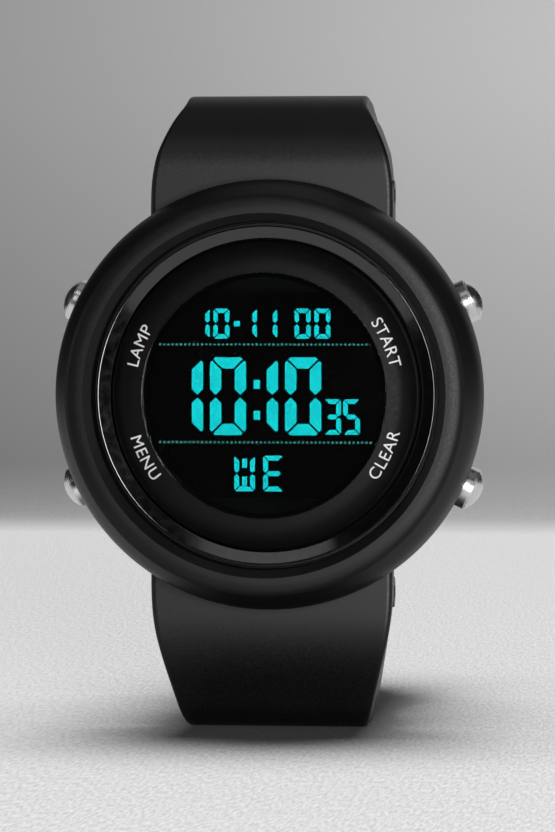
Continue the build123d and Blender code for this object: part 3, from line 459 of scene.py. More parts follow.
def linear(code):
    """A colour written as sRGB hex, in the linear values that a shader takes."""
    parts = [int(code[n:n + 2], 16) / 255 for n in (1, 3, 5)]
    return [p / 12.92 if p <= 0.04045 else ((p + 0.055) / 1.055) ** 2.4 for p in parts] + [1.0]


def add(tree, kind, inputs=None, **settings):
    """Adds a node with its settings. An input is a value, or the socket that feeds it."""
    made = tree.nodes.new(kind)
    for key, value in settings.items():
        setattr(made, key, value)
    for key, value in (inputs or {}).items():
        if isinstance(value, bpy.types.NodeSocket):
            tree.links.new(value, made.inputs[key])
        else:
            made.inputs[key].default_value = value
    return made


def per_mm(size):
    """The scale that makes one cell of a pattern as large as a size in millimetres."""
    return 1 / (size * MM)


def start_material(name):
    material = bpy.data.materials.new(name)
    material.use_nodes = True
    tree = material.node_tree
    tree.nodes.clear()
    place = add(tree, "ShaderNodeTexCoord").outputs["Object"]
    return material, tree, place


def end_material(tree, shader):
    add(tree, "ShaderNodeOutputMaterial", {"Surface": shader.outputs[0]})


def spread(tree, value, low, high, out_low, out_high):
    """A pattern's range mapped to another."""
    inputs = {"Value": value, "From Min": low, "From Max": high, "To Min": out_low, "To Max": out_high}
    return add(tree, "ShaderNodeMapRange", inputs, clamp=True).outputs["Result"]


def tint(tree, value, first, second):
    """A colour between two, by a value from 0 to 1."""
    inputs = {"Factor": value, "A": linear(first), "B": linear(second)}
    return add(tree, "ShaderNodeMix", inputs, data_type="RGBA").outputs["Result"]


def moulded(name, dark, light, roughness, grain, depth, cloud=6.0, shine=0.5, coat=0.0, coat_roughness=0.2):
    """Moulded plastic or rubber: a fine spark-eroded grain, and slow changes of shade."""
    material, tree, place = start_material(name)
    shade = add(tree, "ShaderNodeTexNoise", {"Vector": place, "Scale": per_mm(cloud), "Detail": 3.0})
    fine = add(tree, "ShaderNodeTexNoise", {"Vector": place, "Scale": per_mm(grain), "Detail": 4.0})
    mixed = add(
        tree, "ShaderNodeMath", {0: shade.outputs["Fac"], 1: fine.outputs["Fac"]}, operation="MULTIPLY"
    )
    colour = tint(tree, spread(tree, mixed.outputs[0], 0.12, 0.4, 0.0, 1.0), dark, light)
    rough = spread(tree, fine.outputs["Fac"], 0.3, 0.7, roughness - 0.05, roughness + 0.06)
    bump = add(
        tree, "ShaderNodeBump", {"Height": fine.outputs["Fac"], "Strength": 1.0, "Distance": depth * MM}
    )
    shader = add(
        tree,
        "ShaderNodeBsdfPrincipled",
        {
            "Base Color": colour, "Roughness": rough, "Normal": bump.outputs["Normal"], "IOR": 1.5,
            "Specular IOR Level": shine, "Coat Weight": coat, "Coat Roughness": coat_roughness,
        },
    )
    end_material(tree, shader)
    return material


def metal(name, dark, light, roughness, brush=None, pits=0.35, depth=0.002):
    """Steel or brass. brush gives the size in millimetres of a cell of its brushing along x, y and z."""
    material, tree, place = start_material(name)
    stretch = brush or (pits, pits, pits)
    scaled = add(
        tree, "ShaderNodeMapping", {"Vector": place, "Scale": [per_mm(size) for size in stretch]}
    )
    fine = add(tree, "ShaderNodeTexNoise", {"Vector": scaled.outputs[0], "Scale": 1.0, "Detail": 5.0})
    smear = add(tree, "ShaderNodeTexNoise", {"Vector": place, "Scale": per_mm(4.0), "Detail": 2.0})
    colour = tint(tree, smear.outputs["Fac"], dark, light)
    rough = spread(tree, fine.outputs["Fac"], 0.3, 0.7, roughness * 0.8, roughness * 1.25)
    bump = add(
        tree, "ShaderNodeBump", {"Height": fine.outputs["Fac"], "Strength": 1.0, "Distance": depth * MM}
    )
    shader = add(
        tree,
        "ShaderNodeBsdfPrincipled",
        {"Base Color": colour, "Roughness": rough, "Normal": bump.outputs["Normal"], "Metallic": 1.0},
    )
    end_material(tree, shader)
    return material


def clear(name, colour, roughness, smudge):
    """Glass or clear film: it lets light straight through, and has faint smudges in its gloss."""
    material, tree, place = start_material(name)
    marks = add(tree, "ShaderNodeTexNoise", {"Vector": place, "Scale": per_mm(7.0), "Detail": 4.0})
    rough = spread(tree, marks.outputs["Fac"], 0.4, 0.75, roughness, roughness + smudge)
    shader = add(
        tree,
        "ShaderNodeBsdfPrincipled",
        {"Base Color": linear(colour), "Roughness": rough, "IOR": 1.5, "Transmission Weight": 1.0},
    )
    end_material(tree, shader)
    return material


def lit(name, dim, bright, strength, cell):
    """A lit area of the display, a little uneven where the light behind it is."""
    material, tree, place = start_material(name)
    uneven = add(tree, "ShaderNodeTexNoise", {"Vector": place, "Scale": per_mm(cell), "Detail": 2.0})
    colour = tint(tree, spread(tree, uneven.outputs["Fac"], 0.35, 0.65, 0.0, 1.0), dim, bright)
    shader = add(
        tree,
        "ShaderNodeBsdfPrincipled",
        {
            "Base Color": linear("#021314"), "Roughness": 0.6, "Emission Color": colour,
            "Emission Strength": strength,
        },
    )
    end_material(tree, shader)
    return material


# Materials

# Injection-moulded polyurethane with a spark-eroded grain: soft, broad highlights on near black.
# Its grain is about 0.1 mm and is drawn at 0.22 mm, so that it shows.
bezel_resin = moulded("polyurethane_bezel_eroded", "#090909", "#111112", 0.43, 0.22, 0.006, shine=0.2)
# The case is ABS from a mould of the same grain: a little greyer and duller.
case_resin = moulded("abs_case_eroded", "#0b0b0c", "#131314", 0.5, 0.22, 0.006, shine=0.28)
# The strap's polyurethane is cast in a smoother mould: satin, with a slight bloom.
strap_resin = moulded("polyurethane_strap_satin", "#080809", "#0e0e0f", 0.4, 0.3, 0.004, cloud=9.0, shine=0.3)
# Polished ABS: deep black with sharp reflections, and only a trace of flow marks.
polished_black = moulded(
    "abs_polished", "#040405", "#08080a", 0.13, 0.9, 0.0004, cloud=5.0, coat=0.6, coat_roughness=0.06
)
# Satin ABS under a clear lacquer: the label ring has a soft broad gleam.
label_black = moulded("abs_satin_lacquered", "#070708", "#0c0c0e", 0.48, 0.35, 0.0012, cloud=4.0, shine=0.1)
# Pad-printing ink: matt white with slight specks.
print_white = moulded("pad_print_ink_white", "#c9c9c9", "#e2e2e2", 0.55, 0.08, 0.001, cloud=0.6)
# Black border printed under the window's rim: flat and dead black.
print_black = moulded("pad_print_ink_black", "#020202", "#040404", 0.9, 0.1, 0.0005, shine=0.0)
# Mineral glass, polished: clear with faint smudges.
crystal_glass = clear("mineral_glass_polished", "#fbfdfd", 0.0, 0.02)
# Polarising film: a smoky grey that dims what lies under it, smooth and even.
film_dark = clear("polarising_film_dark", "#7b7d7e", 0.0, 0.03)
# Negative liquid crystal cell: smooth black glass behind.
cell_black = moulded("cell_glass_black", "#010203", "#020405", 0.25, 0.6, 0.0003)
# Lit figures: flat bright cyan, a little uneven.
figure_cyan = lit("cell_figures_lit", "#12dade", "#17e6e6", 5.0, 2.4)
# The dots are smaller and duller than the figures.
divider_teal = lit("cell_dots_lit", "#3c8d83", "#4ea397", 5.0, 1.2)
# Diffusing acrylic: milky white and even, with a soft sheen.
light_guide = moulded("acrylic_light_guide", "#d5dad8", "#e8ecea", 0.4, 0.3, 0.002)
# Nitrile rubber: dull black, without highlights.
gasket_rubber = moulded("nitrile_rubber_moulded", "#121212", "#1d1d1d", 0.62, 0.15, 0.004)
# Layered silicone strip: grey, with fine changes of shade from layer to layer.
connector_rubber = moulded("silicone_strip_layered", "#6d6d70", "#a0a0a3", 0.6, 0.1, 0.002, cloud=0.3)
# Acetal: warm off-white with a waxy sheen.
module_plastic = moulded("acetal_module_moulded", "#b7b2a4", "#ccc7b9", 0.45, 0.3, 0.004)
# Solder mask: glossy dark green over the faint texture of the glass fibre.
board_green = moulded("solder_mask_on_glass_fibre", "#0b3a1e", "#14552d", 0.3, 0.35, 0.003, cloud=1.0)
# Cast epoxy: glossy black with slow ripples.
chip_resin = moulded("epoxy_blob_cast", "#0b0b0b", "#171717", 0.25, 0.8, 0.003)
# Polished stainless steel: bright, with sharp dark and pale reflections.
button_steel = metal("stainless_polished", "#cfcfd1", "#e2e2e4", 0.26, pits=0.5, depth=0.0006)
# Satin stainless steel: its fine lines run across the buckle and stretch the highlights.
buckle_steel = metal("stainless_satin", "#a9a9ab", "#bfbfc1", 0.24, brush=(4.0, 0.12, 0.12))
# Brushed stainless steel: coarser lines straight across the back.
back_steel = metal("stainless_brushed", "#a2a2a4", "#b8b8ba", 0.27, brush=(5.0, 0.15, 0.15), depth=0.003)
# Rolled spring steel: darker grey, with faint drawing marks.
spring_steel = metal("spring_steel_rolled", "#8d8d90", "#a5a5a8", 0.3, brush=(2.0, 0.2, 0.2))
# Nickel plating: slightly warm and bright.
battery_steel = metal("nickel_plated_steel", "#b2b0ab", "#c6c4bf", 0.2)
# Rolled brass: warm yellow with fine lines.
sounder_brass = metal("brass_rolled", "#b08a45", "#c8a45c", 0.25, brush=(3.0, 0.2, 0.2))

FINISHES = {
    "bezel_resin": bezel_resin, "case_resin": case_resin, "polished_black": polished_black,
    "label_black": label_black, "crystal_clear": crystal_glass, "polariser_film": film_dark,
    "display_black": cell_black, "figure_cyan": figure_cyan, "divider_teal": divider_teal,
    "light_guide": light_guide, "gasket_rubber": gasket_rubber, "connector_rubber": connector_rubber,
    "module_plastic": module_plastic, "board_green": board_green, "chip_resin": chip_resin,
    "spring_steel": spring_steel, "battery_steel": battery_steel, "sounder_brass": sounder_brass,
    "back_steel": back_steel, "button_steel": button_steel, "buckle_steel": buckle_steel,
    "strap_resin": strap_resin,
}
SLOT_OF = {item["node"]: item["material_slot"] for item in frame["record"]["subparts"]}

for node, piece in frame["nodes"].items():
    piece.data.materials.clear()
    piece.data.materials.append(FINISHES[SLOT_OF[node]])


def dress(piece, *nodes, material=None, body=None):
    """Gives a piece its finish and body, from the nodes it stands for or from what is named."""
    piece.data.materials.clear()
    piece.data.materials.append(material or FINISHES[SLOT_OF[nodes[0]]])
    if nodes:
        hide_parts(*nodes)
    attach(piece, body or frame["nodes"][nodes[0]]["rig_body"])
    return piece


# Case


def make_case():
    start, end, last = CREST[0], CREST[-2], CREST[-1]
    crest = curve_through(
        CREST, CREST_STEPS, (2 * start[0] - CREST[1][0], start[1]), (end[0], 2 * last[1] - end[1])
    )
    foot = rounded(BEZEL_FOOT, BEZEL_EDGE, closed=False)
    dress(lathe("bezel_cover", crest[:-1] + foot[:-1]), "bezel")
    dress(lathe("polished_inner_ring", rounded(RING_PROFILE, RING_EDGE, 5)), "polished_ring")
    dome = curve_through(LABEL_DOME, DOME_STEPS)
    inside = rounded(LABEL_INSIDE, LABEL_EDGE, 3, closed=False)
    dress(lathe("printed_label_ring", dome[:-1] + inside[:-1]), "label_ring")
    glass = [
        (0.0, CRYSTAL_LOW), (CRYSTAL_RADIUS, CRYSTAL_LOW),
        (CRYSTAL_RADIUS, CRYSTAL_HIGH), (0.0, CRYSTAL_HIGH),
    ]
    dress(lathe("window_crystal", rounded(glass, CRYSTAL_EDGE, 4, closed=False)), "crystal")
    border = lathe("printed_window_border", BORDER)
    dress(border, material=print_black, body="case")
    dress(softened("case_body", "case_shell", SHELL_EDGE, 2), "case_body")
    dress(softened("case_back", "back_plate", BACK_EDGE, 2), "case_back")


# Display


def make_cell():
    """Film, front glass and lit figures, each a hair clear of the next so that light passes through."""
    for node in ("front_polariser", "front_glass", "display_figures"):
        low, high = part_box(node)
        middle = (low.y + high.y) / 2
        bm = bmesh.new()
        bm.from_mesh(frame["nodes"][node].data)
        bmesh.ops.remove_doubles(bm, verts=bm.verts, dist=WELD)
        share = 1 - 2 * CELL_GAP * MM / (high.y - low.y)
        for vert in bm.verts:
            vert.co.y = middle + (vert.co.y - middle) * share
        bmesh.ops.dissolve_limit(bm, angle_limit=math.radians(FLAT), verts=bm.verts, edges=bm.edges)
        dress(new_piece(node + "_layer", bm), node)


def dot_tree():
    """Geometry Nodes: a row of round dots along X, facing out of the dial."""
    tree, entry = node_tree_with(
        "dot_row", {"Start": 0, "Depth": 0, "Height": 0, "Pitch": DOT_PITCH * MM, "Count": DOT_COUNT,
                    "Radius": DOT_RADIUS * MM, "Thickness": DOT_THICKNESS * MM},
    )
    first = add(
        tree, "ShaderNodeCombineXYZ", {"X": entry["Start"], "Y": entry["Depth"], "Z": entry["Height"]}
    )
    step = add(tree, "ShaderNodeCombineXYZ", {"X": entry["Pitch"]})
    row = add(
        tree, "GeometryNodeMeshLine",
        {"Count": entry["Count"], "Start Location": first.outputs[0], "Offset": step.outputs[0]},
    )
    disc = add(
        tree, "GeometryNodeMeshCylinder",
        {"Vertices": 20, "Radius": entry["Radius"], "Depth": entry["Thickness"]},
    )
    dots = add(
        tree, "GeometryNodeInstanceOnPoints",
        {"Points": row.outputs[0], "Instance": disc.outputs[0], "Rotation": (math.radians(90), 0, 0)},
    )
    return end_tree(tree, dots.outputs[0], divider_teal)


def make_dividers():
    """The two dotted lines, in the places that the frame gives."""
    low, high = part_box("display_dividers")
    half = DOT_SIZE / 2 * MM
    tree = dot_tree()
    rows = []
    for height in (low.z + half, high.z - half):
        start = {"Start": low.x + half, "Depth": (low.y + high.y) / 2, "Height": height}
        rows.append(grown("dotted_line", tree, start))
    carry = bmesh.new()
    for row in rows:
        carry.from_mesh(row.data)
        bpy.data.objects.remove(row)
    dress(new_piece("display_dotted_lines", carry), "display_dividers")


# Printed words


def dome_height(radius):
    """How high the label ring's surface stands at a radius."""
    line = curve_through(LABEL_DOME, DOME_STEPS)
    for outer, inner in zip(line, line[1:]):
        if inner.x <= radius <= outer.x:
            share = (outer.x - radius) / (outer.x - inner.x)
            return outer.y + (inner.y - outer.y) * share
    return LABEL_DOME[0][1]


def make_word(text, middle, tops_out):
    """A word bent round the dial and laid on the label ring's dome."""
    letters = bpy.data.curves.new("word", "FONT")
    letters.body = text
    letters.align_x = "CENTER"
    letters.align_y = "CENTER"
    letters.space_character = WORD_SPACING
    letters.size = 1.0
    source = bpy.data.objects.new("word", letters)
    bpy.context.scene.collection.objects.link(source)
    bpy.context.view_layer.update()
    view = bpy.context.evaluated_depsgraph_get()
    flat = bpy.data.meshes.new_from_object(source.evaluated_get(view))
    bpy.data.objects.remove(source)
    bm = bmesh.new()
    bm.from_mesh(flat)
    heights = [vert.co.y for vert in bm.verts]
    low, high = min(heights), max(heights)
    scale = WORD_HEIGHT / (high - low)
    bmesh.ops.triangulate(bm, faces=bm.faces)
    for _ in range(2):
        long_edges = [edge for edge in bm.edges if edge.calc_length() * scale > LETTER_EDGE]
        bmesh.ops.subdivide_edges(bm, edges=long_edges, cuts=1)
        bmesh.ops.triangulate(bm, faces=bm.faces)
    shell = bmesh.ops.extrude_face_region(bm, geom=bm.faces[:])
    raised = {item for item in shell["geom"] if isinstance(item, bmesh.types.BMVert)}
    side = 1 if tops_out else -1
    for vert in bm.verts:
        across = vert.co.x * scale
        out = (vert.co.y - (low + high) / 2) * scale
        radius = WORD_RADIUS + side * out
        turn = math.radians(middle) - side * across / WORD_RADIUS
        lift = WORD_THICKNESS if vert in raised else -WORD_THICKNESS
        height = dome_height(radius) + lift
        vert.co = FACE_UP @ Vector((radius * math.cos(turn), radius * math.sin(turn), height))
    bmesh.ops.recalc_face_normals(bm, faces=bm.faces)
    piece = new_piece("printed_word_" + text.lower(), bm)
    dress(piece, material=print_white, body="case")


# Buttons


def make_buttons():
    for joint in frame["joints"]:
        if not joint["name"].endswith("_press"):
            continue
        name = joint["name"].removesuffix("_press")
        inward = Vector(joint["axis"])
        angle = math.atan2(-inward.z, -inward.x)
        place = (
            FACE_UP
            @ Matrix.Translation((0, 0, BUTTON_LEVEL))
            @ Matrix.Rotation(angle, 4, "Z")
            @ Matrix.Rotation(math.radians(90), 4, "Y")
        )
        rise = BUTTON_TIP - BUTTON_PROFILE[-1][1]
        rim = BUTTON_PROFILE[-1][0]
        crown = (rim * rim + rise * rise) / (2 * rise)
        dome = []
        for step in range(1, BUTTON_DOME_STEPS + 1):
            radius = rim * (1 - step / BUTTON_DOME_STEPS)
            dome.append((radius, BUTTON_TIP - crown + math.sqrt(crown * crown - radius * radius)))
        body = rounded([(0.0, BUTTON_PROFILE[0][1])] + BUTTON_PROFILE, BUTTON_EDGE, 3, closed=False)
        dress(lathe(name + "_pusher_cap", body + dome, place, BUTTON_STEPS), name + "_button")
        make_return_spring(name, place)


def coil_tree():
    """Geometry Nodes: a wire wound along Z from 0."""
    tree, entry = node_tree_with(
        "wound_wire",
        {"Radius": SPRING_RADIUS, "Wire": SPRING_WIRE, "Length": SPRING_LENGTH, "Turns": SPRING_TURNS},
    )
    spiral = add(
        tree, "GeometryNodeCurveSpiral",
        {
            "Resolution": 40, "Rotations": entry["Turns"], "Start Radius": entry["Radius"],
            "End Radius": entry["Radius"], "Height": entry["Length"],
        },
    )
    section = add(tree, "GeometryNodeCurvePrimitiveCircle", {"Resolution": 12, "Radius": entry["Wire"]})
    wire = add(
        tree, "GeometryNodeCurveToMesh",
        {"Curve": spiral.outputs[0], "Profile Curve": section.outputs[0], "Fill Caps": True},
    )
    return end_tree(tree, wire.outputs[0], spring_steel)


def make_return_spring(name, place):
    """A wound spring round the button's stem."""
    piece = grown(name + "_return_coil", coil_tree(), {})
    piece.data.transform(place @ Matrix.Translation((0, 0, SPRING_LOW)))
    smooth_shade(piece, 60)
    dress(piece, name + "_spring")
    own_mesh(piece)


# Strap


def bent_line(corners, bends):
    """Points along straight runs joined by arcs, each with its direction."""
    points = [Vector(corner) for corner in corners]
    line = []
    start = points[0]
    for n, radius in enumerate(bends):
        corner = points[n + 1]
        before = (corner - points[n]).normalized()
        after = (points[n + 2] - corner).normalized()
        turn = before.angle_signed(after)
        cut = radius * math.tan(abs(turn) / 2)
        first = corner - before * cut
        line += straight(start, first)
        left = 1 if before.x * after.y - before.y * after.x > 0 else -1
        centre = first + Vector((-before.y, before.x)) * left * radius
        arm = first - centre
        steps = max(4, int(abs(math.degrees(turn)) / 2.5))
        for step in range(steps):
            angle = left * abs(turn) * step / steps
            spun = Matrix.Rotation(angle, 2)
            line.append((centre + spun @ arm, spun @ before))
        start = corner + after * cut
    line += straight(start, points[-1])
    line.append((points[-1], (points[-1] - start).normalized()))
    return line


def straight(start, end):
    steps = max(1, int((end - start).length / 0.8))
    heading = (end - start).normalized()
    return [(start.lerp(end, step / steps), heading) for step in range(steps)]


def ramp(value, start, end, first, second):
    share = min(max((value - start) / (end - start), 0), 1)
    return first + (second - first) * share


def shoulder_law(start, end, rounds):
    """Half the strap's width past its shoulder, against the place in the tilted view."""
    corners = [(0, STRAP_HALF), (start, STRAP_HALF), (end, WAIST_HALF), (TAPER_REACH, WAIST_HALF)]
    line = [point for point, _ in bent_line(corners, rounds)]

    def half(view):
        for first, second in zip(line, line[1:]):
            if first.x <= view <= second.x:
                return ramp(view, first.x, second.x, first.y, second.y)
        return STRAP_HALF if view < 0 else WAIST_HALF

    return half


def strap_band(name, line, side, half_at, thickness_at):
    """A band along a line. side is 1 where the outside of the loop is on the line's left."""
    bm = bmesh.new()
    rings = []
    for point, heading in line:
        outward = Vector((-heading.y, heading.x)) * side
        outer, inner = thickness_at(point)
        far = half_at(point + outward * outer)
        near = half_at(point - outward * inner)
        corners = [(-near, -inner), (near, -inner), (far, outer), (-far, outer)]
        ring = []
        for across, out in held(rounded(corners, min(STRAP_EDGE, 0.42 * (outer + inner)), 5)):
            spot = point + outward * out
            ring.append(bm.verts.new(FACE_UP @ Vector((across, spot.x, spot.y))))
        rings.append(ring)
    count = len(rings[0])
    for first, second in zip(rings, rings[1:]):
        for n in range(count):
            following = (n + 1) % count
            bm.faces.new([first[n], first[following], second[following], second[n]])
    bm.faces.new(rings[0])
    bm.faces.new(rings[-1])
    bmesh.ops.recalc_face_normals(bm, faces=bm.faces)
    return new_piece(name, bm)


def cross_rod(name, place, radius, half):
    return prism(name, circle(place[0], place[1], radius, 48), -half, half, side_on())


def finish_root(piece, direction):
    """Adds the knuckle round the spring bar, and cuts its bore and the room for the lugs."""
    up, depth = SPRING_BAR
    carve(piece, cross_rod("knuckle", (direction * up, depth), KNUCKLE, STRAP_HALF - KNUCKLE_INSET), "UNION")
    carve(piece, cross_rod("bore", (direction * up, depth), BAR_BORE, STRAP_HALF + 1))
    low, high = sorted(direction * reach for reach in LUG_ROOM)
    outline = [(low, LUG_LOW), (high, LUG_LOW), (high, LUG_TOP), (low, LUG_TOP)]
    for side in (-1, 1):
        near, far = sorted((side * LUG_SPAN[0], side * LUG_SPAN[1]))
        carve(piece, prism("lug_room", outline, near, far, side_on()))


def make_strap_upper():
    tilt = math.radians(UPPER_TILT)
    shoulder = shoulder_law(*UPPER_TAPER, UPPER_TAPER_ROUNDS)

    def half_at(point):
        if point.y > REAR_TAPER[0]:
            return shoulder(point.x * math.cos(tilt) - point.y * math.sin(tilt))
        return ramp(point.y, REAR_TAPER[0], REAR_TAPER[1], WAIST_HALF, BUCKLE_HALF)

    half = STRAP_THICKNESS / 2
    line = bent_line(UPPER_LINE, UPPER_BENDS)
    piece = strap_band("strap_buckle_half", line, 1, half_at, lambda point: (half, half))
    finish_root(piece, 1)
    carve(piece, cross_rod("pin_knuckle", PIN_PLACE, PIN_KNUCKLE, BUCKLE_HALF - PIN_KNUCKLE_INSET), "UNION")
    carve(piece, cross_rod("pin_bore", PIN_PLACE, PIN_BORE, STRAP_HALF))
    low, high = (PIN_PLACE[0] + reach for reach in TONGUE_SLOT_UP)
    back, front = TONGUE_SLOT_DEPTH
    slot = [(low, back), (high, back), (high, front), (low, front)]
    carve(piece, prism("tongue_room", slot, -TONGUE_SLOT_HALF, TONGUE_SLOT_HALF, side_on()))
    smooth_shade(piece, 35)
    dress(piece, "strap_upper")


def tail_tip(up):
    """How much narrower half the tail is near its rounded end."""
    left = TAIL_END - up
    if left >= TAIL_ROUND:
        return 0
    return TAIL_ROUND - math.sqrt(max(TAIL_ROUND ** 2 - (TAIL_ROUND - left) ** 2, 0))


def make_strap_lower():
    tilt = math.radians(LOWER_TILT)
    outer = TAIL_THICKNESS / 2
    tail_line = LOWER_LINE[-1][1]
    shoulder = shoulder_law(*LOWER_TAPER, LOWER_TAPER_ROUNDS)

    def half_at(point):
        if point.y > REAR_TAPER[0]:
            return shoulder(-point.x * math.cos(tilt) - point.y * math.sin(tilt))
        rear = ramp(point.y, REAR_TAPER[0], REAR_TAPER[1], WAIST_HALF, TAIL_HALF)
        return rear - tail_tip(point.x) if point.x > 0 else rear

    def thickness_at(point):
        full = STRAP_THICKNESS - outer
        if point.y > tail_line + 1:
            return outer, full
        return outer, ramp(point.x, TAIL_RAMP[0], TAIL_RAMP[1], full, outer)

    line = bent_line(LOWER_LINE, LOWER_BENDS)
    heading = line[-1][1]
    tip_start = TAIL_END - TAIL_ROUND
    base = [entry for entry in line if entry[0].x < tip_start]
    for step in range(TIP_STEPS + 1):
        turn = math.pi / 2 * step / TIP_STEPS
        base.append((Vector((tip_start + TAIL_ROUND * math.sin(turn), tail_line)), heading))
    piece = strap_band("strap_long_half", base, -1, half_at, thickness_at)
    finish_root(piece, -1)
    length, width = HOLE_LENGTH / 2, HOLE_WIDTH / 2
    slot = rounded([(-length, -width), (length, -width), (length, width), (-length, width)], HOLE_CORNER, 5)
    for place in hole_places(line):
        carve(piece, prism("hole", slot, -STRAP_THICKNESS, STRAP_THICKNESS, place))
    smooth_shade(piece, 35)
    dress(piece, "strap_lower")


def hole_places(line):
    """Places square to the strap, one pitch apart along it."""
    lengths = [0.0]
    for first, second in zip(line, line[1:]):
        lengths.append(lengths[-1] + (second[0] - first[0]).length)
    places = []
    for n in range(-HOLES_BELOW, HOLES_ABOVE + 1):
        target = lengths[-1] - (TAIL_END - HOLE_MIDDLE - n * HOLE_PITCH)
        index = next(i for i, length in enumerate(lengths) if length >= target)
        share = (target - lengths[index - 1]) / (lengths[index] - lengths[index - 1])
        point = line[index - 1][0].lerp(line[index][0], share)
        heading = line[index][1]
        axes = Matrix((
            (0, 1, 0, 0),
            (heading.x, 0, -heading.y, point.x),
            (heading.y, 0, heading.x, point.y),
            (0, 0, 0, 1),
        ))
        places.append(FACE_UP @ axes)
    return places


# Buckle and keepers


def make_buckle():
    for node, name, edge in BUCKLE_PIECES:
        dress(softened(node, name, edge, BUCKLE_SEGMENTS), node)


make_case()
make_cell()
make_dividers()
for word in WORDS:
    make_word(*word)
make_buttons()
make_strap_upper()
make_strap_lower()
make_buckle()


# Studio


def make_studio():
    """A pale, finely granular table top that rises behind into a grey backdrop, with painted light that makes
    the backdrop lighter to the right and towards its top, and a painted shadow on the table near the watch.
    """
    profile = [(TABLE_FRONT, 0.0), (SWEEP_START, 0.0)]
    for step in range(1, SWEEP_STEPS + 1):
        turn = math.pi / 2 * step / SWEEP_STEPS
        profile.append((SWEEP_START + SWEEP_RADIUS * math.sin(turn), SWEEP_RADIUS * (1 - math.cos(turn))))
    profile.append((SWEEP_START + SWEEP_RADIUS, PAPER_TOP))
    bm = bmesh.new()
    rows = []
    for y, z in profile:
        half = PAPER_HALF if z > 0 else TABLE_HALF
        rows.append([bm.verts.new((x, y, z)) for x in (-half, half)])
    for first, second in zip(rows, rows[1:]):
        bm.faces.new([first[0], first[1], second[1], second[0]])
    floor = new_piece("table_and_backdrop", bm)
    smooth_shade(floor, 60)
    material, tree, place = start_material("pale_board_and_grey_paper")
    axes = add(tree, "ShaderNodeSeparateXYZ", {"Vector": place}).outputs
    drawn = add(
        tree, "ShaderNodeMapping", {"Vector": place, "Scale": [per_mm(size) for size in TABLE_GRAIN]}
    )
    grain = add(tree, "ShaderNodeTexNoise", {"Vector": drawn.outputs[0], "Scale": 1.0, "Detail": 3.0})
    table = tint(tree, spread(tree, grain.outputs["Fac"], 0.3, 0.7, 0.0, 1.0), TABLE_DARK, TABLE_PALE)
    # Painted light: the backdrop is painted lighter to the right.
    paper = tint(tree, spread(tree, axes["X"], *PAPER_LIGHT_FADE, 0.0, 1.0), PAPER_SHADED, PAPER_LIT)
    rise = spread(tree, axes["Y"], *SWEEP_FADE, 0.0, 1.0)
    colour = add(tree, "ShaderNodeMix", {"Factor": rise, "A": table, "B": paper}, data_type="RGBA")
    bump = add(
        tree, "ShaderNodeBump", {"Height": grain.outputs["Fac"], "Strength": 0.3, "Distance": 0.2 * MM}
    )
    rays = add(tree, "ShaderNodeLightPath").outputs
    seen = rays["Is Camera Ray"]
    for ray in ("Is Glossy Ray", "Is Transmission Ray"):
        seen = add(tree, "ShaderNodeMath", {0: seen, 1: rays[ray]}, operation="MAXIMUM").outputs[0]
    # Painted light: the backdrop glows more towards its top.
    wall = spread(tree, axes["Z"], 0.0, PAPER_HEIGHT, PAPER_LOW_GLOW, PAPER_HIGH_GLOW)
    level = add(tree, "ShaderNodeMix", {"Factor": rise, "A": TABLE_GLOW, "B": wall}).outputs["Result"]
    seen = add(tree, "ShaderNodeMath", {0: seen, 1: level}, operation="MULTIPLY").outputs[0]
    # Painted shadow: ambient occlusion darkens the table's colour and glow near things. The shadow is kept
    # lighter to the sides and off the backdrop.
    near = add(tree, "ShaderNodeAmbientOcclusion", {"Distance": SHADOW_REACH}, samples=32)
    falloff = add(
        tree, "ShaderNodeMapRange",
        {"Value": near.outputs["AO"], "From Min": SHADOW_RANGE[0], "From Max": SHADOW_RANGE[1],
         "To Min": SHADOW_DARKEST},
        interpolation_type="SMOOTHSTEP",
    ).outputs["Result"]
    aside = add(tree, "ShaderNodeMath", {0: axes["X"]}, operation="ABSOLUTE").outputs[0]
    open_share = falloff
    for value in (rise, spread(tree, aside, *SHADOW_SIDES, 0.0, SHADOW_SIDE_LEVEL)):
        open_share = add(tree, "ShaderNodeMath", {0: open_share, 1: value}, operation="MAXIMUM").outputs[0]
    inputs = {"Factor": open_share, "A": linear("#000000"), "B": colour.outputs["Result"]}
    shaded = add(tree, "ShaderNodeMix", inputs, data_type="RGBA")
    shader = add(
        tree, "ShaderNodeBsdfPrincipled",
        {
            "Base Color": shaded.outputs["Result"], "Roughness": 0.85, "Normal": bump.outputs["Normal"],
            "Emission Color": shaded.outputs["Result"], "Emission Strength": seen,
        },
    )
    behind = add(tree, "ShaderNodeNewGeometry").outputs["Backfacing"]
    through = add(tree, "ShaderNodeMath", {0: behind, 1: rays["Is Camera Ray"]}, operation="MULTIPLY")
    sheet = add(tree, "ShaderNodeMixShader", {"Fac": through.outputs[0]})
    tree.links.new(shader.outputs[0], sheet.inputs[1])
    tree.links.new(add(tree, "ShaderNodeBsdfTransparent").outputs[0], sheet.inputs[2])
    end_material(tree, sheet)
    floor.data.materials.append(material)


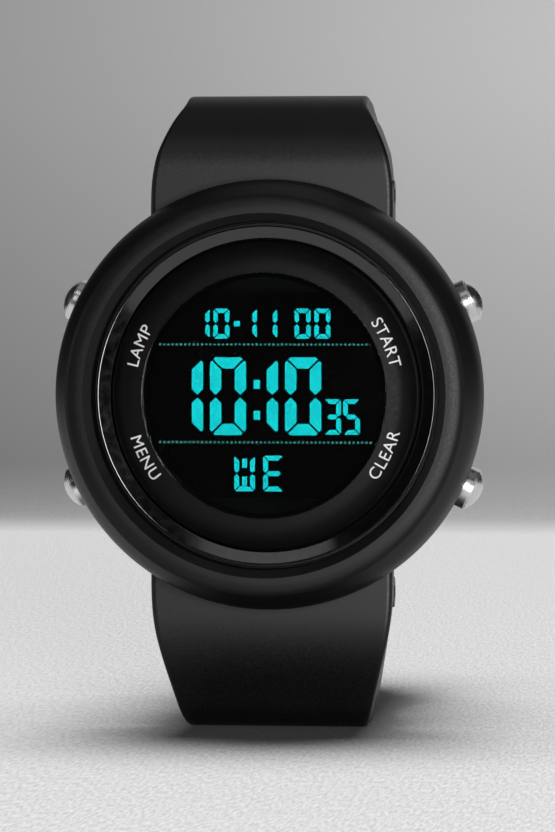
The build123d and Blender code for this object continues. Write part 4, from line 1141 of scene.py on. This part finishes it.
def softbox(name, right, above, distance, width, height, power):
    """A soft lamp that faces the dial."""
    turn, lift = math.radians(right), math.radians(above)
    away = Vector((math.sin(turn) * math.cos(lift), -math.cos(turn) * math.cos(lift), math.sin(lift)))
    light = bpy.data.lights.new(name, "AREA")
    light.shape = "RECTANGLE"
    light.size = width
    light.size_y = height
    light.energy = power
    lamp = bpy.data.objects.new(name, light)
    lamp.location = DIAL + away * distance
    lamp.rotation_euler = away.to_track_quat("Z", "Y").to_euler()
    bpy.context.scene.collection.objects.link(lamp)


def make_lights():
    for name, values in LAMPS.items():
        softbox(name, *values)
    world = bpy.data.worlds.new("studio")
    world.use_nodes = True
    world.node_tree.nodes["Background"].inputs["Color"].default_value = linear(WORLD_GREY)
    world.node_tree.nodes["Background"].inputs["Strength"].default_value = 1.0
    bpy.context.scene.world = world


def make_camera():
    """Looks from the watch's right, aimed where the photograph's frame has its middle."""
    azimuth = math.radians(CAMERA_AZIMUTH)
    elevation = math.radians(CAMERA_ELEVATION)
    back = Vector((
        math.sin(azimuth) * math.cos(elevation), -math.cos(azimuth) * math.cos(elevation),
        math.sin(elevation),
    ))
    right = Vector((math.cos(azimuth), math.sin(azimuth), 0))
    up = back.cross(right)
    to_middle = Vector((PHOTO_WIDTH / 2 - CASE_CENTRE_PX[0], CASE_CENTRE_PX[1] - PHOTO_HEIGHT / 2))
    aim = DIAL + (right * to_middle.x + up * to_middle.y) * MM_PER_PX * MM
    lens = bpy.data.cameras.new("camera")
    lens.sensor_width = SENSOR
    lens.lens = SENSOR * CAMERA_DISTANCE / (PHOTO_HEIGHT * MM_PER_PX)
    lens.clip_start = 0.01
    camera = bpy.data.objects.new("camera", lens)
    axes = Matrix((right, up, back)).transposed().to_4x4()
    camera.matrix_world = Matrix.Translation(aim + back * CAMERA_DISTANCE * MM) @ axes
    bpy.context.scene.collection.objects.link(camera)
    bpy.context.scene.camera = camera


make_studio()
make_lights()
make_camera()
bpy.context.scene.view_settings.view_transform = "Standard"
